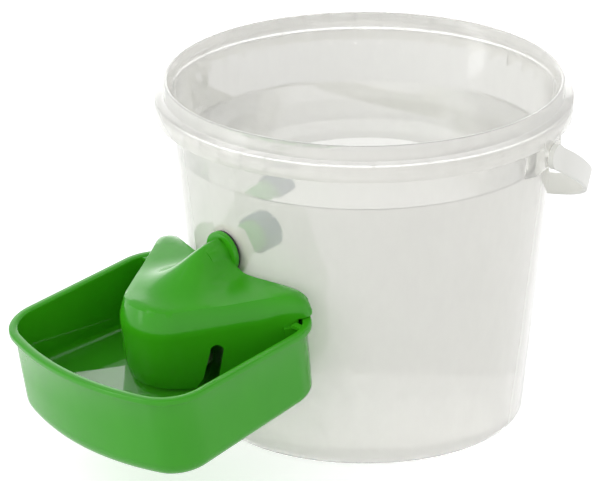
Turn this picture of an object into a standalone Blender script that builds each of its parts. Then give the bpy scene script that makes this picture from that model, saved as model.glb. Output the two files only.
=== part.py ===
"""Poultry drinker: a translucent bucket with a float-valve drinking bowl screwed through its wall.

Lengths are in metres. The origin is the centre of the bucket's base, +Z is up and the bowl faces -Y.
The drinker is built in two frames of its own. The wall frame has its origin where the spigot's axis
meets the outside of the bucket wall, -Y out of the bucket. The bowl frame is the same, tilted a
little further, so that its Z = RIM_LEVEL plane is the rim of the bowl.
"""
import math

import bmesh
import bpy
from mathutils import Matrix, Vector
from mathutils.geometry import delaunay_2d_cdt, intersect_point_line

NAME = "poultry_drinker"
GAP = 0.0003

# Bucket
BUCKET_HEIGHT = 0.1902
BASE_RADIUS = 0.0871
WALL_SLOPE = 0.0163 / 0.167
WALL = 0.0015
FLOOR = 0.0020
BEAD_RADIUS = 0.1080
BEAD_INNER = 0.1060
COLLAR_RADIUS = 0.1130
COLLAR_TOP = 0.1818
COLLAR_BOTTOM = 0.1716
COLLAR_WALL = 0.0013
RIB_COUNT = 48
RIB_THICKNESS = 0.0010
BUCKET_STEPS = 80

# Bail ears and bail
BAIL_TURN = math.radians(20.0)
PIVOT_HEIGHT = 0.1640
EAR_WIDTH = 0.0200
EAR_FACE = 0.1127
EAR_BOTTOM = 0.1520
EAR_TOP = 0.1745
PIN_RADIUS = 0.0029
PIN_TIP = 0.1065
BAIL_END = 0.1147
BAIL_HALF_WIDTH = 0.1170
BAIL_REACH = 0.1185
BAIL_SQUARENESS = 2.65
BAIL_DROOP = math.radians(30.5)
STRAP_WIDTH = 0.0122
STRAP_END_WIDTH = 0.0132
STRAP_THICKNESS = 0.0026
BAIL_STEPS = 44

# Where the drinker sits on the wall
SPIGOT_HEIGHT = 0.1157
DRINKER_ROLL = math.radians(0.9)
BOWL_TILT = math.radians(3.5)

# Drinking bowl
RIM_LEVEL = -0.0210
BOWL_BACK_WIDTH = 0.1415
BOWL_FRONT_WIDTH = 0.1453
BOWL_SIDE_FRONT = -0.1009
BOWL_FRONT_SAG = 0.0156
FRONT_CORNER = 0.0270
BACK_CORNER = 0.0230
BACK_HOLLOW = 0.1000
BACK_MIDDLE = -0.0027
BOWL_DEPTH = 0.0468
BOWL_FLOOR = 0.0022
BOWL_FLOOR_SLOPE = 0.07
RIM_WIDTH = 0.0045
RIM_DROP = 0.0034
CATCH_LOW = (0.0576, -0.0085, -0.0026)
CATCH_HIGH = (0.0642, -0.0052, -0.0006)

# Valve hood
SHELL = 0.0020
NOSE_CENTRE = -0.0400
NOSE_RADIUS = 0.0290
HOOD_FLARE = math.radians(32.5)
HOOD_SIDE_BACK = -0.0052
WING_CENTRE = (0.0546, 0.0020)
WING_RADIUS = 0.0055
HOOD_BACK = -0.0045
HOOD_BACK_HOLLOW = 0.1250
SKIRT_BACK = -0.0096
SKIRT_BACK_HOLLOW = 0.1900
SKIRT_CORNER_CENTRE = (0.0548, -0.0038)
SKIRT_CORNER = 0.0022
SKIRT_BOTTOM = -0.0380
CLIP_LENGTH = 0.0062
CLIP_STAND = 0.0022
CLIP_TOP = -0.0029
CLIP_BOTTOM = -0.0130
WING_BOTTOM = 0.0004
CREASE = 0.0014
WING_END_WALL = 0.0036
WING_CORE = (0.0480, -0.0030)
WING_ROUND = (0.0130, 0.0110)
SHOULDER_SLOPE = 2.6
SHOULDER_ROUND = 0.0150
SHOULDER_SOFTNESS = 0.0030
WING_END_SOFTNESS = 0.0050
SADDLE = 0.0138
RIDGE = 0.0305
RIDGE_NOSE = 0.0165
DOME_ROWS = (0.0003, 0.0011, 0.0038)
DOME_SPACING = 0.0055
SLOT_MIDDLE = -0.0410
SLOT_TOP = -0.0060
SLOT_RADIUS = 0.0036
SLOT_LEAN = 0.0098

# Inlet through the wall
NECK_RADIUS = 0.0080
NECK_END = -0.0160
FLANGE_RADIUS = 0.0118
FLANGE_FRONT = -0.0042
FLANGE_BACK = -0.0016
GASKET_FRONT = -0.0013
GASKET_BACK = -0.0003
THREAD_RADIUS = 0.0080
THREAD_DEPTH = 0.0007
THREAD_PITCH = 0.0030
THREAD_START = 0.0040
TAIL_END = 0.0360
BORE = 0.0048
WALL_HOLE = 0.0090
WASHER_RADIUS = 0.0140
WASHER_FRONT = 0.0029
WASHER_BACK = 0.0051
NUT_FLANGE = 0.0130
NUT_FLANGE_BACK = 0.0074
NUT_BACK = 0.0126
NUT_FLATS = 0.0210
STRAINER_RADIUS = 0.0100
STRAINER_FRONT = 0.0275
STRAINER_END = 0.0385
STRAINER_SLOTS = 6

# Float valve, in the bowl frame
NOZZLE_Z = -0.0030
NOZZLE_RADIUS = 0.0030
NOZZLE_TIP = -0.0180
NOZZLE_HOLE = 0.0010
PIVOT_Y = -0.0232
PIVOT_Z = -0.0155
PIVOT_PIN_RADIUS = 0.0013
CHEEK_INSIDE = 0.0054
CHEEK_THICKNESS = 0.0020
ARM_HALF_WIDTH = 0.0042
ARM_THICKNESS = 0.0026
FLOAT_CENTRE = -0.0430
FLOAT_RADIUS = 0.0155
FLOAT_TOP = -0.0350
FLOAT_HEIGHT = 0.0140
STEM_RADIUS = 0.0024
SEAL_RADIUS = 0.0020
OPEN_ANGLE = math.radians(9.0)

# Colours as they are seen: red, green, blue, alpha
POLYPROPYLENE = (0.78, 0.78, 0.74, 0.45)
BAIL_WHITE = (0.76, 0.76, 0.70, 1.0)
LEAF_GREEN = (0.075, 0.330, 0.040, 1.0)
RUBBER_BLACK = (0.015, 0.016, 0.015, 1.0)
RUBBER_PALE = (0.74, 0.70, 0.60, 1.0)
SLATE = (0.050, 0.075, 0.085, 1.0)
ACETAL_WHITE = (0.80, 0.80, 0.77, 1.0)
STAINLESS = (0.62, 0.62, 0.60, 1.0)
FLOAT_FOAM = (0.72, 0.70, 0.62, 1.0)


# Scene

def clear_scene():
    for existing in list(bpy.data.objects):
        bpy.data.objects.remove(existing)


def new_collection(name):
    collection = bpy.data.collections.new(name)
    bpy.context.scene.collection.children.link(collection)
    return collection


def material(name, colour, roughness, metallic=0.0):
    made = bpy.data.materials.new(name)
    made.use_nodes = True
    shader = made.node_tree.nodes["Principled BSDF"]
    shader.inputs["Base Color"].default_value = colour
    shader.inputs["Roughness"].default_value = roughness
    shader.inputs["Metallic"].default_value = metallic
    shader.inputs["Alpha"].default_value = colour[3]
    made.diffuse_color = colour
    return made


def add_object(name, mesh, collection, matrix=None):
    made = bpy.data.objects.new(name, mesh)
    collection.objects.link(made)
    if matrix is not None:
        made.matrix_world = matrix
    return made


def mesh_of(name, vertices, faces):
    mesh = bpy.data.meshes.new(name)
    mesh.from_pydata([tuple(v) for v in vertices], [], faces)
    mesh.update()
    return mesh


def tidy(mesh):
    """Joins points that coincide and turns all faces outward."""
    builder = bmesh.new()
    builder.from_mesh(mesh)
    bmesh.ops.remove_doubles(builder, verts=builder.verts, dist=0.000001)
    bmesh.ops.recalc_face_normals(builder, faces=builder.faces)
    builder.to_mesh(mesh)
    builder.free()
    return mesh


def dress(target, colour, smooth_angle=35.0):
    target.data.materials.clear()
    target.data.materials.append(colour)
    target.data.shade_smooth()
    target.data.set_sharp_from_angle(angle=math.radians(smooth_angle))
    return target


def baked(target):
    """The same object with its modifiers made real."""
    graph = bpy.context.evaluated_depsgraph_get()
    mesh = bpy.data.meshes.new_from_object(target.evaluated_get(graph))
    target.modifiers.clear()
    target.data = mesh
    return target


def combine(target, tool, operation):
    """One exact Boolean, made real, and the tool removed."""
    step = target.modifiers.new("combine", "BOOLEAN")
    step.operation = operation
    step.solver = "EXACT"
    step.object = tool
    bpy.context.view_layer.update()
    baked(target)
    bpy.data.objects.remove(tool)
    return target


def cutter(name, mesh, matrix=None):
    made = add_object(name, mesh, CUTTERS, matrix)
    made.hide_render = True
    made.display_type = "WIRE"
    return made


# Shapes

def turned_mesh(name, profile, steps):
    """A profile of (radius, height) turned about Z; it runs down its outer side."""
    points = [(r, 0.0, z) for r, z in profile]
    closed = profile[0][0] > 0.0
    edges = [(i, i + 1) for i in range(len(points) - 1)]
    if closed:
        edges.append((len(points) - 1, 0))
    mesh = bpy.data.meshes.new(name)
    mesh.from_pydata(points, edges, [])
    carrier = add_object(name + "_profile", mesh, CUTTERS)
    screw = carrier.modifiers.new("screw", "SCREW")
    screw.axis = "Z"
    screw.angle = 2.0 * math.pi
    screw.steps = steps
    screw.render_steps = steps
    screw.use_merge_vertices = True
    screw.merge_threshold = 0.00001
    screw.use_smooth_shade = False
    bpy.context.view_layer.update()
    graph = bpy.context.evaluated_depsgraph_get()
    made = bpy.data.meshes.new_from_object(carrier.evaluated_get(graph))
    bpy.data.objects.remove(carrier)
    made.name = name
    return made


def along_y(matrix):
    """Turns a piece made about Z so that its height runs along +Y of the given frame."""
    return matrix @ Matrix.Rotation(-math.pi / 2.0, 4, "X")


def cylinder_mesh(name, radius, start, end, steps=32):
    """A cylinder about Z, turned a little so that no corner of it lies in a plane of symmetry."""
    mesh = turned_mesh(name, [(0.0, end), (radius, end), (radius, start), (0.0, start)], steps)
    mesh.transform(Matrix.Rotation(math.radians(3.0), 4, "Z"))
    return mesh


def box_mesh(name, low, high):
    builder = bmesh.new()
    size = [h - l for l, h in zip(low, high)]
    middle = [(h + l) / 2.0 for l, h in zip(low, high)]
    place = Matrix.Translation(middle) @ Matrix.Diagonal((*size, 1.0))
    bmesh.ops.create_cube(builder, size=1.0, matrix=place)
    mesh = bpy.data.meshes.new(name)
    builder.to_mesh(mesh)
    builder.free()
    return mesh


def prism_mesh(name, outline, start, end, place):
    """An outline in two coordinates, extruded between start and end; place makes the 3-D point."""
    count = len(outline)
    vertices = [place(u, v, start) for u, v in outline] + [place(u, v, end) for u, v in outline]
    faces = [tuple(range(count)), tuple(range(2 * count - 1, count - 1, -1))]
    for i in range(count):
        j = (i + 1) % count
        faces.append((i, i + count, j + count, j))
    return tidy(mesh_of(name, vertices, faces))


def arc(centre, radius, start, end, count):
    """Points of an arc, angles in radians, both ends included."""
    step = (end - start) / (count - 1)
    angles = [start + step * i for i in range(count)]
    return [(centre[0] + radius * math.cos(a), centre[1] + radius * math.sin(a)) for a in angles]


def band(a, b, count):
    """Quads between two rings of points whose first points are a and b."""
    return [(a + i, a + (i + 1) % count, b + (i + 1) % count, b + i) for i in range(count)]


def ring_loft(name, rings):
    """Skins a list of closed rings that have the same number of points, and closes both ends."""
    count = len(rings[0])
    faces = []
    for level in range(len(rings) - 1):
        faces += band(level * count, (level + 1) * count, count)
    last = (len(rings) - 1) * count
    faces += [tuple(range(count)), tuple(range(last, last + count))]
    return tidy(mesh_of(name, [point for ring in rings for point in ring], faces))


# Bucket

def wall_radius(z):
    return BASE_RADIUS + WALL_SLOPE * z


def bucket_profile():
    inner = lambda z: (wall_radius(z) - WALL, z)
    outer = lambda z: (wall_radius(z), z)
    corner = 0.0035
    inside = [(0.0, FLOOR), (wall_radius(0.0) - WALL - corner - 0.001, FLOOR)]
    inside += [(wall_radius(0.0) - WALL - corner * 0.35, FLOOR + corner * 0.35), inner(FLOOR + corner)]
    bead_edge = BUCKET_HEIGHT - 0.0006
    rim = [inner(BUCKET_HEIGHT - 0.0050), (BEAD_INNER, bead_edge), (BEAD_INNER + 0.0006, BUCKET_HEIGHT)]
    rim += [(BEAD_RADIUS - 0.0006, BUCKET_HEIGHT), (BEAD_RADIUS, bead_edge)]
    collar = [(BEAD_RADIUS, COLLAR_TOP + 0.0006), (BEAD_RADIUS + 0.0006, COLLAR_TOP)]
    collar += [(COLLAR_RADIUS - 0.0008, COLLAR_TOP), (COLLAR_RADIUS, COLLAR_TOP - 0.0008)]
    collar += [(COLLAR_RADIUS, COLLAR_BOTTOM + 0.0003), (COLLAR_RADIUS - 0.0003, COLLAR_BOTTOM)]
    skirt_inner = COLLAR_RADIUS - COLLAR_WALL
    collar += [(skirt_inner, COLLAR_BOTTOM), (skirt_inner, COLLAR_TOP - 0.0018)]
    collar += [outer(COLLAR_TOP - 0.0018)]
    foot = [outer(0.0030), (wall_radius(0.0) - 0.0008, 0.0009), (wall_radius(0.0) - 0.0028, 0.0)]
    return inside + rim + collar + foot + [(0.0, 0.0)]


def collar_ribs():
    """All the thin plates between the wall and the collar's skirt, as one tool."""
    builder = bmesh.new()
    low, high = COLLAR_BOTTOM + 0.0008, COLLAR_TOP - 0.0012
    inner, outer = wall_radius(low) - 0.0002, COLLAR_RADIUS - COLLAR_WALL * 0.5
    size = Matrix.Diagonal((outer - inner, RIB_THICKNESS, high - low, 1.0))
    place = Matrix.Translation(((inner + outer) / 2.0, 0.0, (low + high) / 2.0))
    for i in range(RIB_COUNT):
        turn = Matrix.Rotation(2.0 * math.pi * (i + 0.72) / RIB_COUNT, 4, "Z")
        bmesh.ops.create_cube(builder, size=1.0, matrix=turn @ place @ size)
    mesh = bpy.data.meshes.new("collar_ribs")
    builder.to_mesh(mesh)
    builder.free()
    return mesh


def ear_mesh(turn):
    """A bail ear: a tapered block under the collar, drawn in radius and height."""
    depth = 0.0009
    outline = [(wall_radius(EAR_BOTTOM) - depth, EAR_BOTTOM), (EAR_FACE - 0.0045, EAR_BOTTOM + 0.0030)]
    outline += [(EAR_FACE, EAR_BOTTOM + 0.0080), (EAR_FACE, EAR_TOP), (wall_radius(EAR_TOP) - depth, EAR_TOP)]
    cos, sin = math.cos(turn), math.sin(turn)
    place = lambda r, z, t: (r * cos - t * sin, r * sin + t * cos, z)
    return prism_mesh("ear", outline, -EAR_WIDTH / 2.0, EAR_WIDTH / 2.0, place)


def radial_cylinder(name, radius, start, end, turn, height, steps=24):
    """A cylinder from start to end along the horizontal direction at the given angle."""
    lie_down = Matrix.Rotation(math.pi / 2.0, 4, "Y")
    place = Matrix.Translation((0.0, 0.0, height)) @ Matrix.Rotation(turn, 4, "Z") @ lie_down
    return cylinder_mesh(name, radius, start, end, steps), place


def build_bucket():
    bucket = add_object("bucket", turned_mesh("bucket", bucket_profile(), BUCKET_STEPS), PARTS)
    combine(bucket, cutter("rib_tool", collar_ribs()), "UNION")
    for side in (0.0, math.pi):
        turn = BAIL_TURN + side
        combine(bucket, cutter("ear_tool", ear_mesh(turn)), "UNION")
        tool, place = radial_cylinder("ear_hole", PIN_RADIUS + GAP, PIN_TIP - GAP, 0.1200, turn, PIVOT_HEIGHT)
        combine(bucket, cutter("ear_hole_tool", tool, place), "DIFFERENCE")
    hole = cylinder_mesh("wall_hole", WALL_HOLE, -0.0060, 0.0060)
    combine(bucket, cutter("wall_hole_tool", hole, along_y(WALL_FRAME)), "DIFFERENCE")
    return dress(bucket, material("natural_polypropylene", POLYPROPYLENE, 0.30))


# Bail

def bail_path():
    """Middle line of the strap in its own plane, X along the hinge axis and Y across it."""
    points = []
    power = 2.0 / BAIL_SQUARENESS
    for i in range(BAIL_STEPS + 1):
        t = math.pi * i / BAIL_STEPS
        x = BAIL_HALF_WIDTH * math.copysign(abs(math.cos(t)) ** power, math.cos(t))
        y = BAIL_REACH * math.sin(t) ** power
        pull = math.exp(-((y / 0.0130) ** 2))
        x -= math.copysign((BAIL_HALF_WIDTH - BAIL_END) * pull, x)
        points.append(Vector((x, y)))
    return points


def strap_mesh():
    """The bail's strap: a rounded flat section swept along the path, with round flat ends."""
    path = bail_path()
    half_t = STRAP_THICKNESS / 2.0
    rings = []
    for i, point in enumerate(path):
        before, after = path[max(i - 1, 0)], path[min(i + 1, len(path) - 1)]
        along = (after - before).normalized()
        out = Vector((along.y, -along.x))
        widening = math.exp(-((point.y / 0.0300) ** 2))
        half_w = (STRAP_WIDTH + (STRAP_END_WIDTH - STRAP_WIDTH) * widening) / 2.0
        bevel = 0.0006
        section = [(-half_t, -half_w + bevel), (-half_t + bevel, -half_w), (half_t - bevel, -half_w)]
        section += [(half_t, -half_w + bevel), (half_t, half_w - bevel), (half_t - bevel, half_w)]
        section += [(-half_t + bevel, half_w), (-half_t, half_w - bevel)]
        rings.append([(point.x + out.x * a, point.y + out.y * a, b) for a, b in section])
    return ring_loft("bail_strap", rings)


def build_bail():
    bail = add_object("bail_handle", strap_mesh(), PARTS)
    for side in (1.0, -1.0):
        turn = 0.0 if side > 0 else math.pi
        inner, face = PIN_TIP, BAIL_END - STRAP_THICKNESS / 2.0
        disc, place = radial_cylinder("bail_end", 0.0068, face, face + STRAP_THICKNESS + 0.0004, turn, 0.0)
        combine(bail, cutter("bail_end_tool", disc, place), "UNION")
        pin, place = radial_cylinder("bail_pin", PIN_RADIUS, inner, face + 0.0010, turn, 0.0)
        combine(bail, cutter("bail_pin_tool", pin, place), "UNION")
    hang = Matrix.Rotation(BAIL_TURN, 4, "Z") @ Matrix.Rotation(-BAIL_DROOP, 4, "X")
    bail.matrix_world = Matrix.Translation((0.0, 0.0, PIVOT_HEIGHT)) @ hang
    return dress(bail, material("bail_polypropylene", BAIL_WHITE, 0.42))


# Drinking bowl

def arc_pairs(centre, radius, start, end, count, sign=1.0):
    """Points of an arc, each with the direction that is outward there."""
    made = []
    for i in range(count):
        a = start + (end - start) * i / (count - 1)
        cos, sin = math.cos(a), math.sin(a)
        made.append(((centre[0] + radius * cos, centre[1] + radius * sin), (cos * sign, sin * sign)))
    return made


def bowl_outline():
    """The rim's outer edge as (point, outward direction) pairs, from the back middle clockwise."""
    down = -math.pi / 2.0
    half_back, half_front = BOWL_BACK_WIDTH / 2.0, BOWL_FRONT_WIDTH / 2.0
    flare = math.atan2(half_front - half_back, -BOWL_SIDE_FRONT)
    hollow = (0.0, BACK_MIDDLE + BACK_HOLLOW)
    back_x = half_back - BACK_CORNER
    back_y = hollow[1] - math.sqrt((BACK_HOLLOW + BACK_CORNER) ** 2 - back_x ** 2)
    meet = math.atan2(back_x, hollow[1] - back_y)
    front_radius = (half_front ** 2 + BOWL_FRONT_SAG ** 2) / (2.0 * BOWL_FRONT_SAG)
    front_middle = (0.0, BOWL_SIDE_FRONT - BOWL_FRONT_SAG + front_radius)
    front_x = half_front - FRONT_CORNER - 0.0002
    front_y = front_middle[1] - math.sqrt((front_radius - FRONT_CORNER) ** 2 - front_x ** 2)
    swing = math.atan2(front_x, front_middle[1] - front_y)
    right = arc_pairs(hollow, BACK_HOLLOW, down, down + meet, 7, -1.0)[:-1]
    right += arc_pairs((back_x, back_y), BACK_CORNER, meet - down, flare, 9)
    right += arc_pairs((front_x, front_y), FRONT_CORNER, flare, down + swing, 9)
    right += arc_pairs(front_middle, front_radius, down + swing, down, 8)[1:]
    left = [((-p[0], p[1]), (-n[0], n[1])) for p, n in reversed(right)][1:-1]
    return right + left


def bowl_ring(outline, inset, drop):
    """The outline drawn in by inset, at a depth below the rim; the floor slopes down to the front."""
    share = drop / BOWL_DEPTH
    ring = []
    for (x, y), (nx, ny) in outline:
        px, py = x - nx * inset, y - ny * inset
        ring.append((px, py, RIM_LEVEL - drop + share ** 3 * BOWL_FLOOR_SLOPE * (py + 0.060)))
    return ring


def bowl_mesh():
    outline = bowl_outline()
    inner_depth = BOWL_DEPTH - BOWL_FLOOR
    outside = [(0.0004, 0.0), (0.0, 0.0006), (0.0, RIM_DROP - 0.0005), (0.0006, RIM_DROP)]
    outside += [(0.0029, RIM_DROP), (0.0040, BOWL_DEPTH - 0.0065), (0.0049, BOWL_DEPTH - 0.0033)]
    outside += [(0.0066, BOWL_DEPTH - 0.0010), (0.0105, BOWL_DEPTH)]
    inside = [(0.0115, inner_depth), (0.0080, inner_depth - 0.0013), (0.0062, inner_depth - 0.0046)]
    inside += [(0.0050, 0.0008), (RIM_WIDTH, 0.0)]
    rings = [bowl_ring(outline, inset, drop) for inset, drop in outside + inside]
    count, floor = len(outline), len(outside) - 1
    faces = []
    for level in range(len(rings)):
        if level != floor:
            faces += band(level * count, (level + 1) % len(rings) * count, count)
    faces.append(tuple(range(floor * count, (floor + 1) * count)))
    faces.append(tuple(range((floor + 1) * count, (floor + 2) * count)))
    return tidy(mesh_of("bowl", [point for ring in rings for point in ring], faces))


def catch_mesh(side):
    """A small ledge in the bowl's back corner, which the hood's clip snaps in under."""
    xs = sorted((side * CATCH_LOW[0], side * CATCH_HIGH[0]))
    low = (xs[0], CATCH_LOW[1], RIM_LEVEL + CATCH_LOW[2])
    return box_mesh("catch", low, (xs[1], CATCH_HIGH[1], RIM_LEVEL + CATCH_HIGH[2]))


def build_bowl():
    bowl = add_object("bowl", bowl_mesh(), PARTS)
    for side in (1.0, -1.0):
        combine(bowl, cutter("catch_tool", catch_mesh(side)), "UNION")
    bowl.matrix_world = BOWL_FRAME
    return dress(bowl, material("green_polypropylene", LEAF_GREEN, 0.22), 40.0)


# Valve hood

def hood_side_start():
    return Vector((NOSE_RADIUS * math.cos(HOOD_FLARE), NOSE_CENTRE - NOSE_RADIUS * math.sin(HOOD_FLARE)))


def hollow_back(x, middle, radius):
    """The concave back edge of the hood at x."""
    return middle + radius - math.sqrt(radius ** 2 - x ** 2)


def hood_plan():
    """Dome outline and skirt outline as (point, outward direction) pairs, nose tip to back middle.

    Both are of the right half and have the same number of points. They are the same around the nose
    and the sides; the dome goes further out at the wings and the back, over the bowl's rim.
    """
    start = hood_side_start()
    run = (HOOD_SIDE_BACK - start.y) / math.cos(HOOD_FLARE)
    along = Vector((math.sin(HOOD_FLARE), math.cos(HOOD_FLARE)))
    outward = (math.cos(HOOD_FLARE), -math.sin(HOOD_FLARE))
    shared = arc_pairs((0.0, NOSE_CENTRE), NOSE_RADIUS, -math.pi / 2.0, -HOOD_FLARE, 8)
    for share in (0.13, 0.26, 0.39, 0.52, 0.65, 0.78, 0.90, 1.0):
        shared.append((tuple(start + along * run * share), outward))
    wing_back = math.pi / 2.0 + math.asin(WING_CENTRE[0] / HOOD_BACK_HOLLOW)
    dome = shared + arc_pairs(WING_CENTRE, WING_RADIUS, -HOOD_FLARE, wing_back, 8)
    corner_back = math.pi / 2.0 + math.asin(SKIRT_CORNER_CENTRE[0] / SKIRT_BACK_HOLLOW)
    skirt = shared + arc_pairs(SKIRT_CORNER_CENTRE, SKIRT_CORNER, -HOOD_FLARE, corner_back, 8)
    for share in (0.84, 0.66, 0.48, 0.34, 0.22, 0.11, 0.0):
        x = WING_CENTRE[0] * share
        slope = x / HOOD_BACK_HOLLOW
        dome.append(((x, hollow_back(x, HOOD_BACK, HOOD_BACK_HOLLOW)), (-slope, math.sqrt(1.0 - slope ** 2))))
        x = SKIRT_CORNER_CENTRE[0] * share
        slope = x / SKIRT_BACK_HOLLOW
        skirt.append(((x, hollow_back(x, SKIRT_BACK, SKIRT_BACK_HOLLOW)), (-slope, math.sqrt(1.0 - slope ** 2))))
    return mirrored(dome), mirrored(skirt)


def mirrored(right):
    return right + [((-p[0], p[1]), (-n[0], n[1])) for p, n in reversed(right)][1:-1]


def ease(a, b, t):
    t = min(max(t, 0.0), 1.0)
    return a + (b - a) * t * t * (3.0 - 2.0 * t)


def ridge_height(y):
    """Height of the hood's middle line above the rim: level over the neck, then down to the nose."""
    return ease(RIDGE, RIDGE_NOSE, (-0.0100 - y) / 0.0440)


def side_distance(x, y):
    """Distance in from the hood's nose, its side walls and the round ends of its wings."""
    point = Vector((abs(x), y))
    from_nose = point - Vector((0.0, NOSE_CENTRE))
    from_wing = point - Vector(WING_CENTRE)
    if math.atan2(from_nose.y, from_nose.x) < -HOOD_FLARE:
        return max(NOSE_RADIUS - from_nose.length, 0.0)
    if math.atan2(from_wing.y, from_wing.x) > -HOOD_FLARE and from_wing.x > 0.0:
        return max(WING_RADIUS - from_wing.length, 0.0)
    normal = Vector((math.cos(HOOD_FLARE), -math.sin(HOOD_FLARE)))
    return max((hood_side_start() - point).dot(normal), 0.0)


def shoulder_rise(inset):
    """Height gained over a distance in: upright at the edge, rounding into the shoulder's slope."""
    lean = math.atan(1.0 / SHOULDER_SLOPE)
    reach = SHOULDER_ROUND * (1.0 - math.cos(lean))
    if inset >= reach:
        return SHOULDER_ROUND * math.sin(lean) + SHOULDER_SLOPE * (inset - reach)
    return math.sqrt(max(SHOULDER_ROUND ** 2 - (SHOULDER_ROUND - max(inset, 0.0)) ** 2, 0.0))


def hood_height(x, y, shell=0.0):
    """The saddle of the hood above the rim plane, with steep shoulders; shell gives its inside."""
    along, down = WING_ROUND
    into = min(math.hypot(max(abs(x) - WING_CORE[0], 0.0), max(y - WING_CORE[1], 0.0)) / along, 1.0)
    wing = SADDLE - down * (1.0 - math.sqrt(1.0 - into ** 2))
    spread = ease(0.0095, 0.0220, (-0.008 - y) / 0.042)
    saddle = wing + (ridge_height(y) - wing) * math.exp(-((x / spread) ** 2)) - shell
    foot = ease(CREASE, WING_END_WALL, (abs(x) - 0.046) / 0.008)
    softness = ease(SHOULDER_SOFTNESS, WING_END_SOFTNESS, (abs(x) - 0.044) / 0.010)
    rise = foot + shoulder_rise(side_distance(x, y) - shell) - 0.5 * shell
    share = min(max(0.5 + 0.5 * (saddle - rise) / softness, 0.0), 1.0)
    return saddle + (rise - saddle) * share - softness * share * (1.0 - share)


def gap_to_outline(point, outline):
    """Shortest distance from a point to the closed outline."""
    best = 1.0
    for i in range(len(outline)):
        near, share = intersect_point_line(point, outline[i - 1], outline[i])
        if share < 0.0:
            near = outline[i - 1]
        elif share > 1.0:
            near = outline[i]
        best = min(best, (point - near.to_2d()).length)
    return best


def dome_points(outline, spacing):
    """Points inside the outline: rows that follow its edge, and a grid further in."""
    edge = [Vector(p) for p, _ in outline]
    inside = []
    for inset in DOME_ROWS:
        for (x, y), (nx, ny) in outline:
            point = Vector((x - nx * inset, y - ny * inset))
            if gap_to_outline(point, edge) > 0.98 * inset:
                inside.append(point)
    widest = max(p.x for p in edge)
    count = int(widest / spacing)
    rows = [min(p.y for p in edge) + spacing * i for i in range(int(0.090 / spacing))]
    for y in rows:
        for i in range(-count, count + 1):
            point = Vector((i * spacing, y))
            if in_outline(point, edge) and gap_to_outline(point, edge) > DOME_ROWS[-1] + 0.5 * spacing:
                inside.append(point)
    return inside


def in_outline(point, edge):
    crossings = 0
    for i in range(len(edge)):
        a, b = edge[i - 1], edge[i]
        if (a.y > point.y) != (b.y > point.y):
            if point.x < a.x + (point.y - a.y) * (b.x - a.x) / (b.y - a.y):
                crossings += 1
    return crossings % 2 == 1


def dome_solid(name, outline, shell, lower_rings, spacing=DOME_SPACING):
    """The dome's surface over its outline, closed by walls through the lower rings and a floor."""
    edge = [Vector(p) for p, _ in outline]
    count = len(edge)
    flat = edge + dome_points(outline, spacing)
    edges = [(i, (i + 1) % count) for i in range(count)]
    points, _, faces, origins, _, _ = delaunay_2d_cdt(flat, edges, [], 1, 0.0000001)
    first = {}
    for index, sources in enumerate(origins):
        for source in sources:
            first[source] = index
    vertices = [(p.x, p.y, RIM_LEVEL + hood_height(p.x, p.y, shell)) for p in points]
    faces = [tuple(face) for face in faces]
    above = [first[i] for i in range(count)]
    for ring in lower_rings:
        below = [len(vertices) + i for i in range(count)]
        vertices += ring
        for i in range(count):
            j = (i + 1) % count
            faces.append((above[i], above[j], below[j], below[i]))
        above = below
    faces.append(tuple(above))
    return tidy(mesh_of(name, vertices, faces))


def level_ring(outline, height):
    return [(x, y, RIM_LEVEL + height) for (x, y), _ in outline]


def slot_mesh(side):
    """An arched opening through the skirt's side wall, wider towards its foot."""
    start = hood_side_start()
    along = Vector((math.sin(HOOD_FLARE), math.cos(HOOD_FLARE)))
    out = Vector((math.cos(HOOD_FLARE), -math.sin(HOOD_FLARE)))
    middle = start + along * (SLOT_MIDDLE - start.y) / along.y
    top = RIM_LEVEL + SLOT_TOP - SLOT_RADIUS
    outline = arc((0.0, top), SLOT_RADIUS, 0.0, math.pi, 9)
    foot = RIM_LEVEL + SKIRT_BOTTOM - 0.002
    outline += [(-SLOT_RADIUS - 0.0015 - SLOT_LEAN, foot), (SLOT_RADIUS + 0.0015 - SLOT_LEAN, foot)]

    def place(u, v, depth):
        point = middle + along * u + out * depth
        return (side * point.x, point.y, v)

    return prism_mesh("slot", outline, -0.006, 0.006, place)


def clip_mesh(side):
    """A raised pad on the skirt's side wall, under the catch of the bowl."""
    start = hood_side_start()
    along = Vector((math.sin(HOOD_FLARE), math.cos(HOOD_FLARE)))
    out = Vector((math.cos(HOOD_FLARE), -math.sin(HOOD_FLARE)))
    back = start + along * (HOOD_SIDE_BACK - start.y) / along.y
    outline = [(-CLIP_LENGTH, CLIP_BOTTOM), (0.0, CLIP_BOTTOM), (0.0, CLIP_TOP), (-CLIP_LENGTH, CLIP_TOP)]

    def place(u, v, depth):
        point = back + along * u + out * depth
        return (side * point.x, point.y, RIM_LEVEL + v)

    return prism_mesh("clip", outline, -0.0010, CLIP_STAND, place)


def spigot_mesh():
    """Flange and threaded tail, turned about the axis of the hole in the bucket wall."""
    core = THREAD_RADIUS - THREAD_DEPTH
    profile = [(BORE, TAIL_END), (core, TAIL_END)]
    top = TAIL_END - 0.0008
    while top - THREAD_PITCH > THREAD_START:
        profile.append((THREAD_RADIUS, top - 0.2 * THREAD_PITCH))
        profile.append((THREAD_RADIUS, top - 0.4 * THREAD_PITCH))
        profile.append((core, top - 0.7 * THREAD_PITCH))
        top -= THREAD_PITCH
    profile += [(THREAD_RADIUS, THREAD_START), (THREAD_RADIUS, FLANGE_BACK)]
    profile += [(FLANGE_RADIUS, FLANGE_BACK), (FLANGE_RADIUS, FLANGE_FRONT + 0.0004)]
    profile += [(FLANGE_RADIUS - 0.0004, FLANGE_FRONT), (BORE, FLANGE_FRONT)]
    return turned_mesh("spigot", profile, 24)


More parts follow.
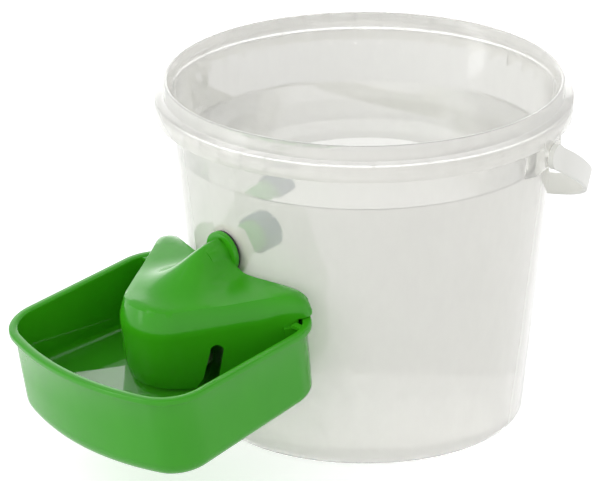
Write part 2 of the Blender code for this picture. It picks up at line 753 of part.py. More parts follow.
def build_hood():
    dome, skirt = hood_plan()
    rings = [level_ring(dome, WING_BOTTOM), level_ring(skirt, WING_BOTTOM), level_ring(skirt, SKIRT_BOTTOM)]
    hood = add_object("valve_hood", dome_solid("valve_hood", dome, 0.0, rings), PARTS)
    inner = [((x - nx * SHELL, y - ny * SHELL), (nx, ny)) for (x, y), (nx, ny) in skirt]
    inside = dome_solid("hood_inside", inner, SHELL, [level_ring(inner, SKIRT_BOTTOM - 0.002)])
    combine(hood, cutter("hood_inside_tool", inside), "DIFFERENCE")
    for side in (1.0, -1.0):
        combine(hood, cutter("slot_tool", slot_mesh(side)), "DIFFERENCE")
        combine(hood, cutter("clip_tool", clip_mesh(side)), "UNION")
        xs = sorted((side * CHEEK_INSIDE, side * (CHEEK_INSIDE + CHEEK_THICKNESS)))
        low = (xs[0], PIVOT_Y - 0.0045, PIVOT_Z - 0.0045)
        high = (xs[1], PIVOT_Y + 0.0045, RIM_LEVEL + 0.0220)
        combine(hood, cutter("cheek_tool", box_mesh("cheek", low, high)), "UNION")
        combine(hood, cutter("pocket_tool", wing_pocket(side)), "DIFFERENCE")
    neck = cylinder_mesh("neck", NECK_RADIUS, NECK_END, FLANGE_FRONT + 0.0015)
    combine(hood, cutter("neck_tool", neck, along_y(Matrix.Identity(4))), "UNION")
    wall_in_bowl = BOWL_FRAME.inverted() @ WALL_FRAME
    combine(hood, cutter("spigot_tool", spigot_mesh(), along_y(wall_in_bowl)), "UNION")
    bore = cylinder_mesh("bore", NOZZLE_RADIUS + GAP, NECK_END - 0.002, FLANGE_FRONT + 0.002)
    at_nozzle = Matrix.Translation((0.0, 0.0, NOZZLE_Z))
    combine(hood, cutter("bore_tool", bore, along_y(at_nozzle)), "DIFFERENCE")
    pin_hole = cylinder_mesh("pin_hole", PIVOT_PIN_RADIUS + 0.0001, -0.012, 0.012, 16)
    across = Matrix.Translation((0.0, PIVOT_Y, PIVOT_Z)) @ Matrix.Rotation(math.pi / 2.0, 4, "Y")
    combine(hood, cutter("pin_hole_tool", pin_hole, across), "DIFFERENCE")
    hood.matrix_world = BOWL_FRAME
    return dress(hood, material("green_polypropylene_hood", LEAF_GREEN, 0.22), 40.0)


def wing_pocket(side):
    """The hollow under a wing's end, open below, with a shell's thickness left all round."""
    middle = (side * WING_CENTRE[0], WING_CENTRE[1])
    outline = arc(middle, WING_RADIUS - SHELL, 0.0, 2.0 * math.pi * 15 / 16, 16)
    place = lambda u, v, z: (u, v, z)
    return prism_mesh("pocket", outline, RIM_LEVEL - 0.002, RIM_LEVEL + 0.0050, place)


# Inlet fittings

def washer_mesh(name, outer, inner, front, back, steps=32):
    return turned_mesh(name, [(inner, back), (outer, back), (outer, front), (inner, front)], steps)


def build_fittings():
    gasket = washer_mesh("outer_gasket", FLANGE_RADIUS - 0.0002, THREAD_RADIUS + GAP, GASKET_FRONT, GASKET_BACK)
    placed = add_object("outer_gasket", gasket, PARTS, along_y(WALL_FRAME))
    dress(placed, material("black_rubber", RUBBER_BLACK, 0.60))

    washer = washer_mesh("inner_washer", WASHER_RADIUS, THREAD_RADIUS + GAP, WASHER_FRONT, WASHER_BACK)
    placed = add_object("inner_washer", washer, PARTS, along_y(WALL_FRAME))
    dress(placed, material("pale_rubber", RUBBER_PALE, 0.55))

    nut = add_object("clamp_nut", nut_mesh(), PARTS)
    flange = cylinder_mesh("nut_flange", NUT_FLANGE, WASHER_BACK + GAP, NUT_FLANGE_BACK)
    combine(nut, cutter("nut_flange_tool", flange), "UNION")
    hole = cylinder_mesh("nut_hole", THREAD_RADIUS + GAP, 0.0, NUT_BACK + 0.002)
    combine(nut, cutter("nut_hole_tool", hole), "DIFFERENCE")
    nut.matrix_world = along_y(WALL_FRAME)
    dress(nut, material("natural_nylon", RUBBER_PALE, 0.35))

    strainer = add_object("inlet_strainer", strainer_mesh(), PARTS)
    for i in range(STRAINER_SLOTS):
        turn = Matrix.Rotation(math.pi * i / STRAINER_SLOTS, 4, "Z")
        low = (-STRAINER_RADIUS - 0.002, -0.0007, STRAINER_END - 0.0070)
        high = (STRAINER_RADIUS + 0.002, 0.0007, STRAINER_END + 0.0010)
        if i % 2 == 0:
            slot = box_mesh("strainer_slot", low, high)
            combine(strainer, cutter("strainer_slot_tool", slot, turn), "DIFFERENCE")
    strainer.matrix_world = along_y(WALL_FRAME)
    dress(strainer, material("slate_polypropylene", SLATE, 0.40))


def nut_mesh():
    corner = NUT_FLATS / 2.0 / math.cos(math.pi / 6.0)
    outline = arc((0.0, 0.0), corner, 0.0, 2.0 * math.pi * 5 / 6, 6)
    return prism_mesh("clamp_nut", outline, NUT_FLANGE_BACK - 0.0005, NUT_BACK, lambda u, v, z: (u, v, z))


def strainer_mesh():
    """A cap on the end of the tail: a skirt over the thread and a slotted end."""
    inner = THREAD_RADIUS + GAP
    floor = TAIL_END + GAP
    profile = [(0.0, STRAINER_END), (STRAINER_RADIUS - 0.0006, STRAINER_END)]
    profile += [(STRAINER_RADIUS, STRAINER_END - 0.0006), (STRAINER_RADIUS, STRAINER_FRONT)]
    profile += [(inner, STRAINER_FRONT), (inner, floor), (0.0, floor)]
    return turned_mesh("inlet_strainer", profile, 32)


# Float valve

def build_valve():
    tip = NOZZLE_TIP
    profile = [(NOZZLE_HOLE, NECK_END + 0.0080), (NOZZLE_RADIUS, NECK_END + 0.0080)]
    profile += [(NOZZLE_RADIUS, NECK_END - 0.0006), (0.0024, NECK_END - 0.0008)]
    profile += [(0.0017, tip), (NOZZLE_HOLE, tip)]
    nozzle = add_object("valve_nozzle", turned_mesh("valve_nozzle", profile, 24), PARTS)
    nozzle.matrix_world = along_y(BOWL_FRAME @ Matrix.Translation((0.0, 0.0, NOZZLE_Z)))
    dress(nozzle, material("acetal_nozzle", ACETAL_WHITE, 0.35))

    pin = cylinder_mesh("pivot_pin", PIVOT_PIN_RADIUS, -CHEEK_INSIDE - CHEEK_THICKNESS,
                        CHEEK_INSIDE + CHEEK_THICKNESS, 16)
    across = Matrix.Translation((0.0, PIVOT_Y, PIVOT_Z)) @ Matrix.Rotation(math.pi / 2.0, 4, "Y")
    placed = add_object("pivot_pin", pin, PARTS, BOWL_FRAME @ across)
    dress(placed, material("stainless_steel", STAINLESS, 0.25, 1.0))

    arm = add_object("float_arm", arm_mesh(), PARTS)
    at_float = Matrix.Translation((0.0, FLOAT_CENTRE - PIVOT_Y, -PIVOT_Z))
    up = Matrix.Translation((0.0, 0.0, NOZZLE_Z - PIVOT_Z))
    combine(arm, cutter("stem_tool", stem_mesh(), at_float), "UNION")
    combine(arm, cutter("seal_cup_tool", seal_cup_mesh(), along_y(up)), "UNION")
    hole = cylinder_mesh("arm_hole", PIVOT_PIN_RADIUS + 0.00015, -0.008, 0.008, 16)
    lie = Matrix.Rotation(math.pi / 2.0, 4, "Y")
    combine(arm, cutter("arm_hole_tool", hole, lie), "DIFFERENCE")
    pivot = Matrix.Translation((0.0, PIVOT_Y, PIVOT_Z)) @ Matrix.Rotation(OPEN_ANGLE, 4, "X")
    arm.matrix_world = BOWL_FRAME @ pivot
    dress(arm, material("acetal_arm", ACETAL_WHITE, 0.38))

    seal = cylinder_mesh("valve_seal", SEAL_RADIUS, seal_back(), seal_back() + 0.0016, 24)
    placed = add_object("valve_seal", seal, PARTS, arm.matrix_world @ along_y(up))
    dress(placed, material("seal_rubber", RUBBER_BLACK, 0.55))

    bottom = FLOAT_TOP - FLOAT_HEIGHT
    profile = [(0.0, FLOAT_TOP - 0.0083), (STEM_RADIUS + GAP, FLOAT_TOP - 0.0083)]
    profile += [(STEM_RADIUS + GAP, FLOAT_TOP), (FLOAT_RADIUS - 0.0015, FLOAT_TOP)]
    profile += [(FLOAT_RADIUS, FLOAT_TOP - 0.0015), (FLOAT_RADIUS, bottom + 0.0015)]
    profile += [(FLOAT_RADIUS - 0.0015, bottom), (0.0, bottom)]
    body = turned_mesh("float", profile, 40)
    placed = add_object("float", body, PARTS, arm.matrix_world @ at_float)
    dress(placed, material("float_foam", FLOAT_FOAM, 0.50))


def stem_mesh():
    """The stem that the float is pressed on, with the collar that it stops against."""
    top, collar = PIVOT_Z + 0.0002, FLOAT_TOP + GAP
    profile = [(0.0, top), (STEM_RADIUS, top), (STEM_RADIUS, collar + 0.0015), (0.0046, collar + 0.0015)]
    profile += [(0.0046, collar), (STEM_RADIUS, collar), (STEM_RADIUS, FLOAT_TOP - 0.0080)]
    return turned_mesh("stem", profile + [(0.0, FLOAT_TOP - 0.0080)], 24)


def seal_cup_mesh():
    """The shallow cup at the top of the post that holds the seal."""
    back, inner, outer = seal_back() - 0.0002, SEAL_RADIUS + 0.0002, SEAL_RADIUS + 0.0010
    profile = [(0.0, back), (inner, back), (inner, back + 0.0008), (outer, back + 0.0008)]
    return turned_mesh("seal_cup", profile + [(outer, back - 0.0024), (0.0, back - 0.0024)], 24)


def seal_back():
    """Back face of the seal along Y from the pivot, when the float is up and the valve is closed."""
    return NOZZLE_TIP - GAP - 0.0016 - PIVOT_Y


def arm_mesh():
    """The lever from its side: a hub, a post up to the seal and an arm out to the float's stem."""
    reach = FLOAT_CENTRE - PIVOT_Y
    half = ARM_THICKNESS / 2.0
    front = seal_back() - 0.0022
    outline = [(reach - 0.0034, -half), (-0.0034, -half), (-0.0022, -0.0030), (0.0016, -0.0030)]
    outline += [(0.0030, -0.0010), (0.0030, 0.0014), (seal_back() - 0.0004, 0.0046)]
    top = NOZZLE_Z - PIVOT_Z + 0.0010
    outline += [(seal_back() - 0.0004, top), (front, top)]
    outline += [(front, 0.0060), (front - 0.0022, half), (reach - 0.0034, half)]
    place = lambda u, v, x: (x, u, v)
    return prism_mesh("float_arm", outline, -ARM_HALF_WIDTH, ARM_HALF_WIDTH, place)


clear_scene()
PARTS = new_collection(NAME)
CUTTERS = new_collection(NAME + "_cutters")
WALL_FRAME = (Matrix.Translation((0.0, -wall_radius(SPIGOT_HEIGHT), SPIGOT_HEIGHT))
              @ Matrix.Rotation(math.atan(WALL_SLOPE), 4, "X") @ Matrix.Rotation(DRINKER_ROLL, 4, "Y"))
BOWL_FRAME = WALL_FRAME @ Matrix.Rotation(BOWL_TILT, 4, "X")
build_bucket()
build_bail()
build_bowl()
build_hood()
build_fittings()
build_valve()
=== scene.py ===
import math

import bmesh
import bpy
from mathutils import Matrix, Vector
from mathutils.geometry import delaunay_2d_cdt, intersect_point_line


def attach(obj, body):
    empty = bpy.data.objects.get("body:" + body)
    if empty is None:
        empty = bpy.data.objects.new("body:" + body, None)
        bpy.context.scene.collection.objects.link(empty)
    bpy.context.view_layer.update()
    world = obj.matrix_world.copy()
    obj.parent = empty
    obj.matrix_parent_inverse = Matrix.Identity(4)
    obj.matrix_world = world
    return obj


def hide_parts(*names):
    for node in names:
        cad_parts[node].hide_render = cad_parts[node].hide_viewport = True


# Poultry drinker: a translucent bucket with a float-valve drinking bowl screwed through its wall.
#
# Lengths are in metres. The origin is the centre of the bucket's base, +Z is up and the bowl faces -Y.
# The wall frame has its origin where the spigot's axis meets the outside of the bucket wall, and the
# bowl frame is the same, tilted a little further, with the bowl's rim at Z = RIM_LEVEL.

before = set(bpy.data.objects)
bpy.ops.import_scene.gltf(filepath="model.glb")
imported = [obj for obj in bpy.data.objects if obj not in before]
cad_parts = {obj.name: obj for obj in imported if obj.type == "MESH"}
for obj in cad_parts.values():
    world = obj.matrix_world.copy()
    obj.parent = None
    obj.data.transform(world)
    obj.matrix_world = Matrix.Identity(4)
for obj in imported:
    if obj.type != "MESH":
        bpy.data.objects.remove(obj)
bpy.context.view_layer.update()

GAP = 0.0003

# Bucket
BUCKET_HEIGHT = 0.1902
BASE_RADIUS = 0.0871
WALL_SLOPE = 0.0163 / 0.167
WALL = 0.0015
FLOOR = 0.0020
BEAD_RADIUS = 0.1080
BEAD_INNER = 0.1060
COLLAR_RADIUS = 0.1130
COLLAR_TOP = 0.1818
COLLAR_BOTTOM = 0.1716
COLLAR_WALL = 0.0013
RIB_COUNT = 48
RIB_THICKNESS = 0.0010
BUCKET_STEPS = 80

# Bail ears and bail
BAIL_TURN = math.radians(20.0)
PIVOT_HEIGHT = 0.1640
EAR_WIDTH = 0.0200
EAR_FACE = 0.1127
EAR_BOTTOM = 0.1520
EAR_TOP = 0.1745
PIN_RADIUS = 0.0029
PIN_TIP = 0.1065
BAIL_END = 0.1147
BAIL_HALF_WIDTH = 0.1170
BAIL_REACH = 0.1185
BAIL_SQUARENESS = 2.65
BAIL_DROOP = math.radians(30.5)
STRAP_WIDTH = 0.0122
STRAP_END_WIDTH = 0.0132
STRAP_THICKNESS = 0.0026
BAIL_STEPS = 44

# Where the drinker sits on the wall
SPIGOT_HEIGHT = 0.1157
DRINKER_ROLL = math.radians(0.9)
BOWL_TILT = math.radians(3.5)

# Drinking bowl
RIM_LEVEL = -0.0210
BOWL_BACK_WIDTH = 0.1415
BOWL_FRONT_WIDTH = 0.1453
BOWL_SIDE_FRONT = -0.1009
BOWL_FRONT_SAG = 0.0156
FRONT_CORNER = 0.0270
BACK_CORNER = 0.0230
BACK_HOLLOW = 0.1000
BACK_MIDDLE = -0.0027
BOWL_DEPTH = 0.0468
BOWL_FLOOR = 0.0022
BOWL_FLOOR_SLOPE = 0.07
RIM_WIDTH = 0.0045
RIM_DROP = 0.0034
CATCH_LOW = (0.0576, -0.0085, -0.0026)
CATCH_HIGH = (0.0642, -0.0052, -0.0006)

# Valve hood
SHELL = 0.0020
NOSE_CENTRE = -0.0400
NOSE_RADIUS = 0.0290
HOOD_FLARE = math.radians(32.5)
HOOD_SIDE_BACK = -0.0052
WING_CENTRE = (0.0546, 0.0020)
WING_RADIUS = 0.0055
HOOD_BACK = -0.0045
HOOD_BACK_HOLLOW = 0.1250
SKIRT_BACK = -0.0096
SKIRT_BACK_HOLLOW = 0.1900
SKIRT_CORNER_CENTRE = (0.0548, -0.0038)
SKIRT_CORNER = 0.0022
SKIRT_BOTTOM = -0.0380
CLIP_LENGTH = 0.0062
CLIP_STAND = 0.0022
CLIP_TOP = -0.0029
CLIP_BOTTOM = -0.0130
WING_BOTTOM = 0.0004
CREASE = 0.0014
WING_END_WALL = 0.0036
WING_CORE = (0.0480, -0.0030)
WING_ROUND = (0.0130, 0.0110)
SHOULDER_SLOPE = 2.6
SHOULDER_ROUND = 0.0150
SHOULDER_SOFTNESS = 0.0030
WING_END_SOFTNESS = 0.0050
SADDLE = 0.0138
RIDGE = 0.0305
RIDGE_NOSE = 0.0165
DOME_ROWS = (0.0003, 0.0011, 0.0038)
DOME_SPACING = 0.0055
SLOT_MIDDLE = -0.0410
SLOT_TOP = -0.0060
SLOT_RADIUS = 0.0036
SLOT_LEAN = 0.0098

# Inlet through the wall
NECK_RADIUS = 0.0080
NECK_END = -0.0160
FLANGE_RADIUS = 0.0118
FLANGE_FRONT = -0.0042
FLANGE_BACK = -0.0016
GASKET_FRONT = -0.0013
GASKET_BACK = -0.0003
THREAD_RADIUS = 0.0080
THREAD_DEPTH = 0.0007
THREAD_PITCH = 0.0030
THREAD_START = 0.0040
TAIL_END = 0.0360
BORE = 0.0048
WALL_HOLE = 0.0090
WASHER_RADIUS = 0.0140
WASHER_FRONT = 0.0029
WASHER_BACK = 0.0051
NUT_FLANGE = 0.0130
NUT_FLANGE_BACK = 0.0074
NUT_BACK = 0.0126
NUT_FLATS = 0.0210
STRAINER_RADIUS = 0.0100
STRAINER_FRONT = 0.0275
STRAINER_END = 0.0385
STRAINER_SLOTS = 6

# Float valve, in the bowl frame
NOZZLE_Z = -0.0030
NOZZLE_RADIUS = 0.0030
NOZZLE_TIP = -0.0180
NOZZLE_HOLE = 0.0010
PIVOT_Y = -0.0232
PIVOT_Z = -0.0155
PIVOT_PIN_RADIUS = 0.0013
CHEEK_INSIDE = 0.0054
CHEEK_THICKNESS = 0.0020
ARM_HALF_WIDTH = 0.0042
ARM_THICKNESS = 0.0026
FLOAT_CENTRE = -0.0430
FLOAT_RADIUS = 0.0155
FLOAT_TOP = -0.0350
FLOAT_HEIGHT = 0.0140
STEM_RADIUS = 0.0024
SEAL_RADIUS = 0.0020
OPEN_ANGLE = math.radians(9.0)

# Finer steps for the surfaces that show
ARC_DETAIL = 3
FINE_SPACING = 0.0026
FINE_ROWS = (0.0003, 0.0009, 0.0018, 0.0030, 0.0044)
FINE_BUCKET_STEPS = 180
FINE_BAIL_STEPS = 110

# Water in the photograph, contents of the drinker
WATER_LEVEL = 0.1519
BOWL_WATER_DROP = 0.0230

# Camera
IMAGE_WIDTH = 600
CAMERA_DISTANCE = 2.5
CAMERA_ELEVATION = math.radians(21.69)
CAMERA_AZIMUTH = math.radians(47.8)
CAMERA_YAW = math.radians(0.8)
CAMERA_AIM = 0.09512
FOCAL_PIXELS = 4584.5
SENSOR = 36.0


def mesh_of(name, vertices, faces):
    mesh = bpy.data.meshes.new(name)
    mesh.from_pydata([tuple(v) for v in vertices], [], faces)
    mesh.update()
    return mesh


def tidy(mesh):
    """Joins points that coincide and turns all faces outward."""
    builder = bmesh.new()
    builder.from_mesh(mesh)
    bmesh.ops.remove_doubles(builder, verts=builder.verts, dist=0.000001)
    bmesh.ops.recalc_face_normals(builder, faces=builder.faces)
    builder.to_mesh(mesh)
    builder.free()
    return mesh


def baked(target):
    """The same object with its modifiers made real."""
    graph = bpy.context.evaluated_depsgraph_get()
    mesh = bpy.data.meshes.new_from_object(target.evaluated_get(graph))
    target.modifiers.clear()
    target.data = mesh
    return target


def combine(target, tool, operation):
    """One exact Boolean, made real, and the tool removed."""
    step = target.modifiers.new("combine", "BOOLEAN")
    step.operation = operation
    step.solver = "EXACT"
    step.object = tool
    bpy.context.view_layer.update()
    baked(target)
    bpy.data.objects.remove(tool)
    return target


def turned_mesh(name, profile, steps):
    """A profile of (radius, height) turned about Z; it runs down its outer side."""
    points = [(r, 0.0, z) for r, z in profile]
    closed = profile[0][0] > 0.0
    edges = [(i, i + 1) for i in range(len(points) - 1)]
    if closed:
        edges.append((len(points) - 1, 0))
    mesh = bpy.data.meshes.new(name)
    mesh.from_pydata(points, edges, [])
    carrier = add_object(name + "_profile", mesh)
    screw = carrier.modifiers.new("screw", "SCREW")
    screw.axis = "Z"
    screw.angle = 2.0 * math.pi
    screw.steps = steps
    screw.render_steps = steps
    screw.use_merge_vertices = True
    screw.merge_threshold = 0.00001
    screw.use_smooth_shade = False
    bpy.context.view_layer.update()
    graph = bpy.context.evaluated_depsgraph_get()
    made = bpy.data.meshes.new_from_object(carrier.evaluated_get(graph))
    bpy.data.objects.remove(carrier)
    made.name = name
    return made


def along_y(matrix):
    """Turns a piece made about Z so that its height runs along +Y of the given frame."""
    return matrix @ Matrix.Rotation(-math.pi / 2.0, 4, "X")


def cylinder_mesh(name, radius, start, end, steps=32):
    """A cylinder about Z, turned a little so that no corner of it lies in a plane of symmetry."""
    mesh = turned_mesh(name, [(0.0, end), (radius, end), (radius, start), (0.0, start)], steps)
    mesh.transform(Matrix.Rotation(math.radians(3.0), 4, "Z"))
    return mesh


def box_mesh(name, low, high):
    builder = bmesh.new()
    size = [h - l for l, h in zip(low, high)]
    middle = [(h + l) / 2.0 for l, h in zip(low, high)]
    place = Matrix.Translation(middle) @ Matrix.Diagonal((*size, 1.0))
    bmesh.ops.create_cube(builder, size=1.0, matrix=place)
    mesh = bpy.data.meshes.new(name)
    builder.to_mesh(mesh)
    builder.free()
    return mesh


def prism_mesh(name, outline, start, end, place):
    """An outline in two coordinates, extruded between start and end; place makes the 3-D point."""
    count = len(outline)
    vertices = [place(u, v, start) for u, v in outline] + [place(u, v, end) for u, v in outline]
    faces = [tuple(range(count)), tuple(range(2 * count - 1, count - 1, -1))]
    for i in range(count):
        j = (i + 1) % count
        faces.append((i, i + count, j + count, j))
    return tidy(mesh_of(name, vertices, faces))


def arc(centre, radius, start, end, count):
    """Points of an arc, angles in radians, both ends included."""
    step = (end - start) / (count - 1)
    angles = [start + step * i for i in range(count)]
    return [(centre[0] + radius * math.cos(a), centre[1] + radius * math.sin(a)) for a in angles]


def band(a, b, count):
    """Quads between two rings of points whose first points are a and b."""
    return [(a + i, a + (i + 1) % count, b + (i + 1) % count, b + i) for i in range(count)]


def ring_loft(name, rings):
    """Skins a list of closed rings that have the same number of points, and closes both ends."""
    count = len(rings[0])
    faces = []
    for level in range(len(rings) - 1):
        faces += band(level * count, (level + 1) * count, count)
    last = (len(rings) - 1) * count
    faces += [tuple(range(count)), tuple(range(last, last + count))]
    return tidy(mesh_of(name, [point for ring in rings for point in ring], faces))


def wall_radius(z):
    return BASE_RADIUS + WALL_SLOPE * z


def bucket_profile():
    inner = lambda z: (wall_radius(z) - WALL, z)
    outer = lambda z: (wall_radius(z), z)
    corner = 0.0035
    inside = [(0.0, FLOOR), (wall_radius(0.0) - WALL - corner - 0.001, FLOOR)]
    inside += [(wall_radius(0.0) - WALL - corner * 0.35, FLOOR + corner * 0.35), inner(FLOOR + corner)]
    bead_edge = BUCKET_HEIGHT - 0.0006
    rim = [inner(BUCKET_HEIGHT - 0.0050), (BEAD_INNER, bead_edge), (BEAD_INNER + 0.0006, BUCKET_HEIGHT)]
    rim += [(BEAD_RADIUS - 0.0006, BUCKET_HEIGHT), (BEAD_RADIUS, bead_edge)]
    collar = [(BEAD_RADIUS, COLLAR_TOP + 0.0006), (BEAD_RADIUS + 0.0006, COLLAR_TOP)]
    collar += [(COLLAR_RADIUS - 0.0008, COLLAR_TOP), (COLLAR_RADIUS, COLLAR_TOP - 0.0008)]
    collar += [(COLLAR_RADIUS, COLLAR_BOTTOM + 0.0003), (COLLAR_RADIUS - 0.0003, COLLAR_BOTTOM)]
    skirt_inner = COLLAR_RADIUS - COLLAR_WALL
    collar += [(skirt_inner, COLLAR_BOTTOM), (skirt_inner, COLLAR_TOP - 0.0018)]
    collar += [outer(COLLAR_TOP - 0.0018)]
    foot = [outer(0.0030), (wall_radius(0.0) - 0.0008, 0.0009), (wall_radius(0.0) - 0.0028, 0.0)]
    return inside + rim + collar + foot + [(0.0, 0.0)]


def collar_ribs():
    """All the thin plates between the wall and the collar's skirt, as one tool."""
    builder = bmesh.new()
    low, high = COLLAR_BOTTOM + 0.0008, COLLAR_TOP - 0.0012
    inner, outer = wall_radius(low) - 0.0002, COLLAR_RADIUS - COLLAR_WALL * 0.5
    size = Matrix.Diagonal((outer - inner, RIB_THICKNESS, high - low, 1.0))
    place = Matrix.Translation(((inner + outer) / 2.0, 0.0, (low + high) / 2.0))
    for i in range(RIB_COUNT):
        turn = Matrix.Rotation(2.0 * math.pi * (i + 0.72) / RIB_COUNT, 4, "Z")
        bmesh.ops.create_cube(builder, size=1.0, matrix=turn @ place @ size)
    mesh = bpy.data.meshes.new("collar_ribs")
    builder.to_mesh(mesh)
    builder.free()
    return mesh


def ear_mesh(turn):
    """A bail ear: a tapered block under the collar, drawn in radius and height."""
    depth = 0.0009
    outline = [(wall_radius(EAR_BOTTOM) - depth, EAR_BOTTOM), (EAR_FACE - 0.0045, EAR_BOTTOM + 0.0030)]
    outline += [(EAR_FACE, EAR_BOTTOM + 0.0080), (EAR_FACE, EAR_TOP), (wall_radius(EAR_TOP) - depth, EAR_TOP)]
    cos, sin = math.cos(turn), math.sin(turn)
    place = lambda r, z, t: (r * cos - t * sin, r * sin + t * cos, z)
    return prism_mesh("ear", outline, -EAR_WIDTH / 2.0, EAR_WIDTH / 2.0, place)


def radial_cylinder(name, radius, start, end, turn, height, steps=24):
    """A cylinder from start to end along the horizontal direction at the given angle."""
    lie_down = Matrix.Rotation(math.pi / 2.0, 4, "Y")
    place = Matrix.Translation((0.0, 0.0, height)) @ Matrix.Rotation(turn, 4, "Z") @ lie_down
    return cylinder_mesh(name, radius, start, end, steps), place


def arc_pairs(centre, radius, start, end, count, sign=1.0):
    """Points of an arc, each with the direction that is outward there."""
    made = []
    for i in range(count):
        a = start + (end - start) * i / (count - 1)
        cos, sin = math.cos(a), math.sin(a)
        made.append(((centre[0] + radius * cos, centre[1] + radius * sin), (cos * sign, sin * sign)))
    return made


def bowl_ring(outline, inset, drop):
    """The outline drawn in by inset, at a depth below the rim; the floor slopes down to the front."""
    share = drop / BOWL_DEPTH
    ring = []
    for (x, y), (nx, ny) in outline:
        px, py = x - nx * inset, y - ny * inset
        ring.append((px, py, RIM_LEVEL - drop + share ** 3 * BOWL_FLOOR_SLOPE * (py + 0.060)))
    return ring


def catch_mesh(side):
    """A small ledge in the bowl's back corner, which the hood's clip snaps in under."""
    xs = sorted((side * CATCH_LOW[0], side * CATCH_HIGH[0]))
    low = (xs[0], CATCH_LOW[1], RIM_LEVEL + CATCH_LOW[2])
    return box_mesh("catch", low, (xs[1], CATCH_HIGH[1], RIM_LEVEL + CATCH_HIGH[2]))


def hood_side_start():
    return Vector((NOSE_RADIUS * math.cos(HOOD_FLARE), NOSE_CENTRE - NOSE_RADIUS * math.sin(HOOD_FLARE)))


def hollow_back(x, middle, radius):
    """The concave back edge of the hood at x."""
    return middle + radius - math.sqrt(radius ** 2 - x ** 2)


def mirrored(right):
    return right + [((-p[0], p[1]), (-n[0], n[1])) for p, n in reversed(right)][1:-1]


def ease(a, b, t):
    t = min(max(t, 0.0), 1.0)
    return a + (b - a) * t * t * (3.0 - 2.0 * t)


def ridge_height(y):
    """Height of the hood's middle line above the rim: level over the neck, then down to the nose."""
    return ease(RIDGE, RIDGE_NOSE, (-0.0100 - y) / 0.0440)


def side_distance(x, y):
    """Distance in from the hood's nose, its side walls and the round ends of its wings."""
    point = Vector((abs(x), y))
    from_nose = point - Vector((0.0, NOSE_CENTRE))
    from_wing = point - Vector(WING_CENTRE)
    if math.atan2(from_nose.y, from_nose.x) < -HOOD_FLARE:
        return max(NOSE_RADIUS - from_nose.length, 0.0)
    if math.atan2(from_wing.y, from_wing.x) > -HOOD_FLARE and from_wing.x > 0.0:
        return max(WING_RADIUS - from_wing.length, 0.0)
    normal = Vector((math.cos(HOOD_FLARE), -math.sin(HOOD_FLARE)))
    return max((hood_side_start() - point).dot(normal), 0.0)


def shoulder_rise(inset):
    """Height gained over a distance in: upright at the edge, rounding into the shoulder's slope."""
    lean = math.atan(1.0 / SHOULDER_SLOPE)
    reach = SHOULDER_ROUND * (1.0 - math.cos(lean))
    if inset >= reach:
        return SHOULDER_ROUND * math.sin(lean) + SHOULDER_SLOPE * (inset - reach)
    return math.sqrt(max(SHOULDER_ROUND ** 2 - (SHOULDER_ROUND - max(inset, 0.0)) ** 2, 0.0))


def hood_height(x, y, shell=0.0):
    """The saddle of the hood above the rim plane, with steep shoulders; shell gives its inside."""
    along, down = WING_ROUND
    into = min(math.hypot(max(abs(x) - WING_CORE[0], 0.0), max(y - WING_CORE[1], 0.0)) / along, 1.0)
    wing = SADDLE - down * (1.0 - math.sqrt(1.0 - into ** 2))
    spread = ease(0.0095, 0.0220, (-0.008 - y) / 0.042)
    saddle = wing + (ridge_height(y) - wing) * math.exp(-((x / spread) ** 2)) - shell
    foot = ease(CREASE, WING_END_WALL, (abs(x) - 0.046) / 0.008)
    softness = ease(SHOULDER_SOFTNESS, WING_END_SOFTNESS, (abs(x) - 0.044) / 0.010)
    rise = foot + shoulder_rise(side_distance(x, y) - shell) - 0.5 * shell
    share = min(max(0.5 + 0.5 * (saddle - rise) / softness, 0.0), 1.0)
    return saddle + (rise - saddle) * share - softness * share * (1.0 - share)


def gap_to_outline(point, outline):
    """Shortest distance from a point to the closed outline."""
    best = 1.0
    for i in range(len(outline)):
        near, share = intersect_point_line(point, outline[i - 1], outline[i])
        if share < 0.0:
            near = outline[i - 1]
        elif share > 1.0:
            near = outline[i]
        best = min(best, (point - near.to_2d()).length)
    return best


def in_outline(point, edge):
    crossings = 0
    for i in range(len(edge)):
        a, b = edge[i - 1], edge[i]
        if (a.y > point.y) != (b.y > point.y):
            if point.x < a.x + (point.y - a.y) * (b.x - a.x) / (b.y - a.y):
                crossings += 1
    return crossings % 2 == 1


def level_ring(outline, height):
    return [(x, y, RIM_LEVEL + height) for (x, y), _ in outline]


def slot_mesh(side):
    """An arched opening through the skirt's side wall, wider towards its foot."""
    start = hood_side_start()
    along = Vector((math.sin(HOOD_FLARE), math.cos(HOOD_FLARE)))
    out = Vector((math.cos(HOOD_FLARE), -math.sin(HOOD_FLARE)))
    middle = start + along * (SLOT_MIDDLE - start.y) / along.y
    top = RIM_LEVEL + SLOT_TOP - SLOT_RADIUS
    outline = arc((0.0, top), SLOT_RADIUS, 0.0, math.pi, 9)
    foot = RIM_LEVEL + SKIRT_BOTTOM - 0.002
    outline += [(-SLOT_RADIUS - 0.0015 - SLOT_LEAN, foot), (SLOT_RADIUS + 0.0015 - SLOT_LEAN, foot)]

    def place(u, v, depth):
        point = middle + along * u + out * depth
        return (side * point.x, point.y, v)

    return prism_mesh("slot", outline, -0.006, 0.006, place)


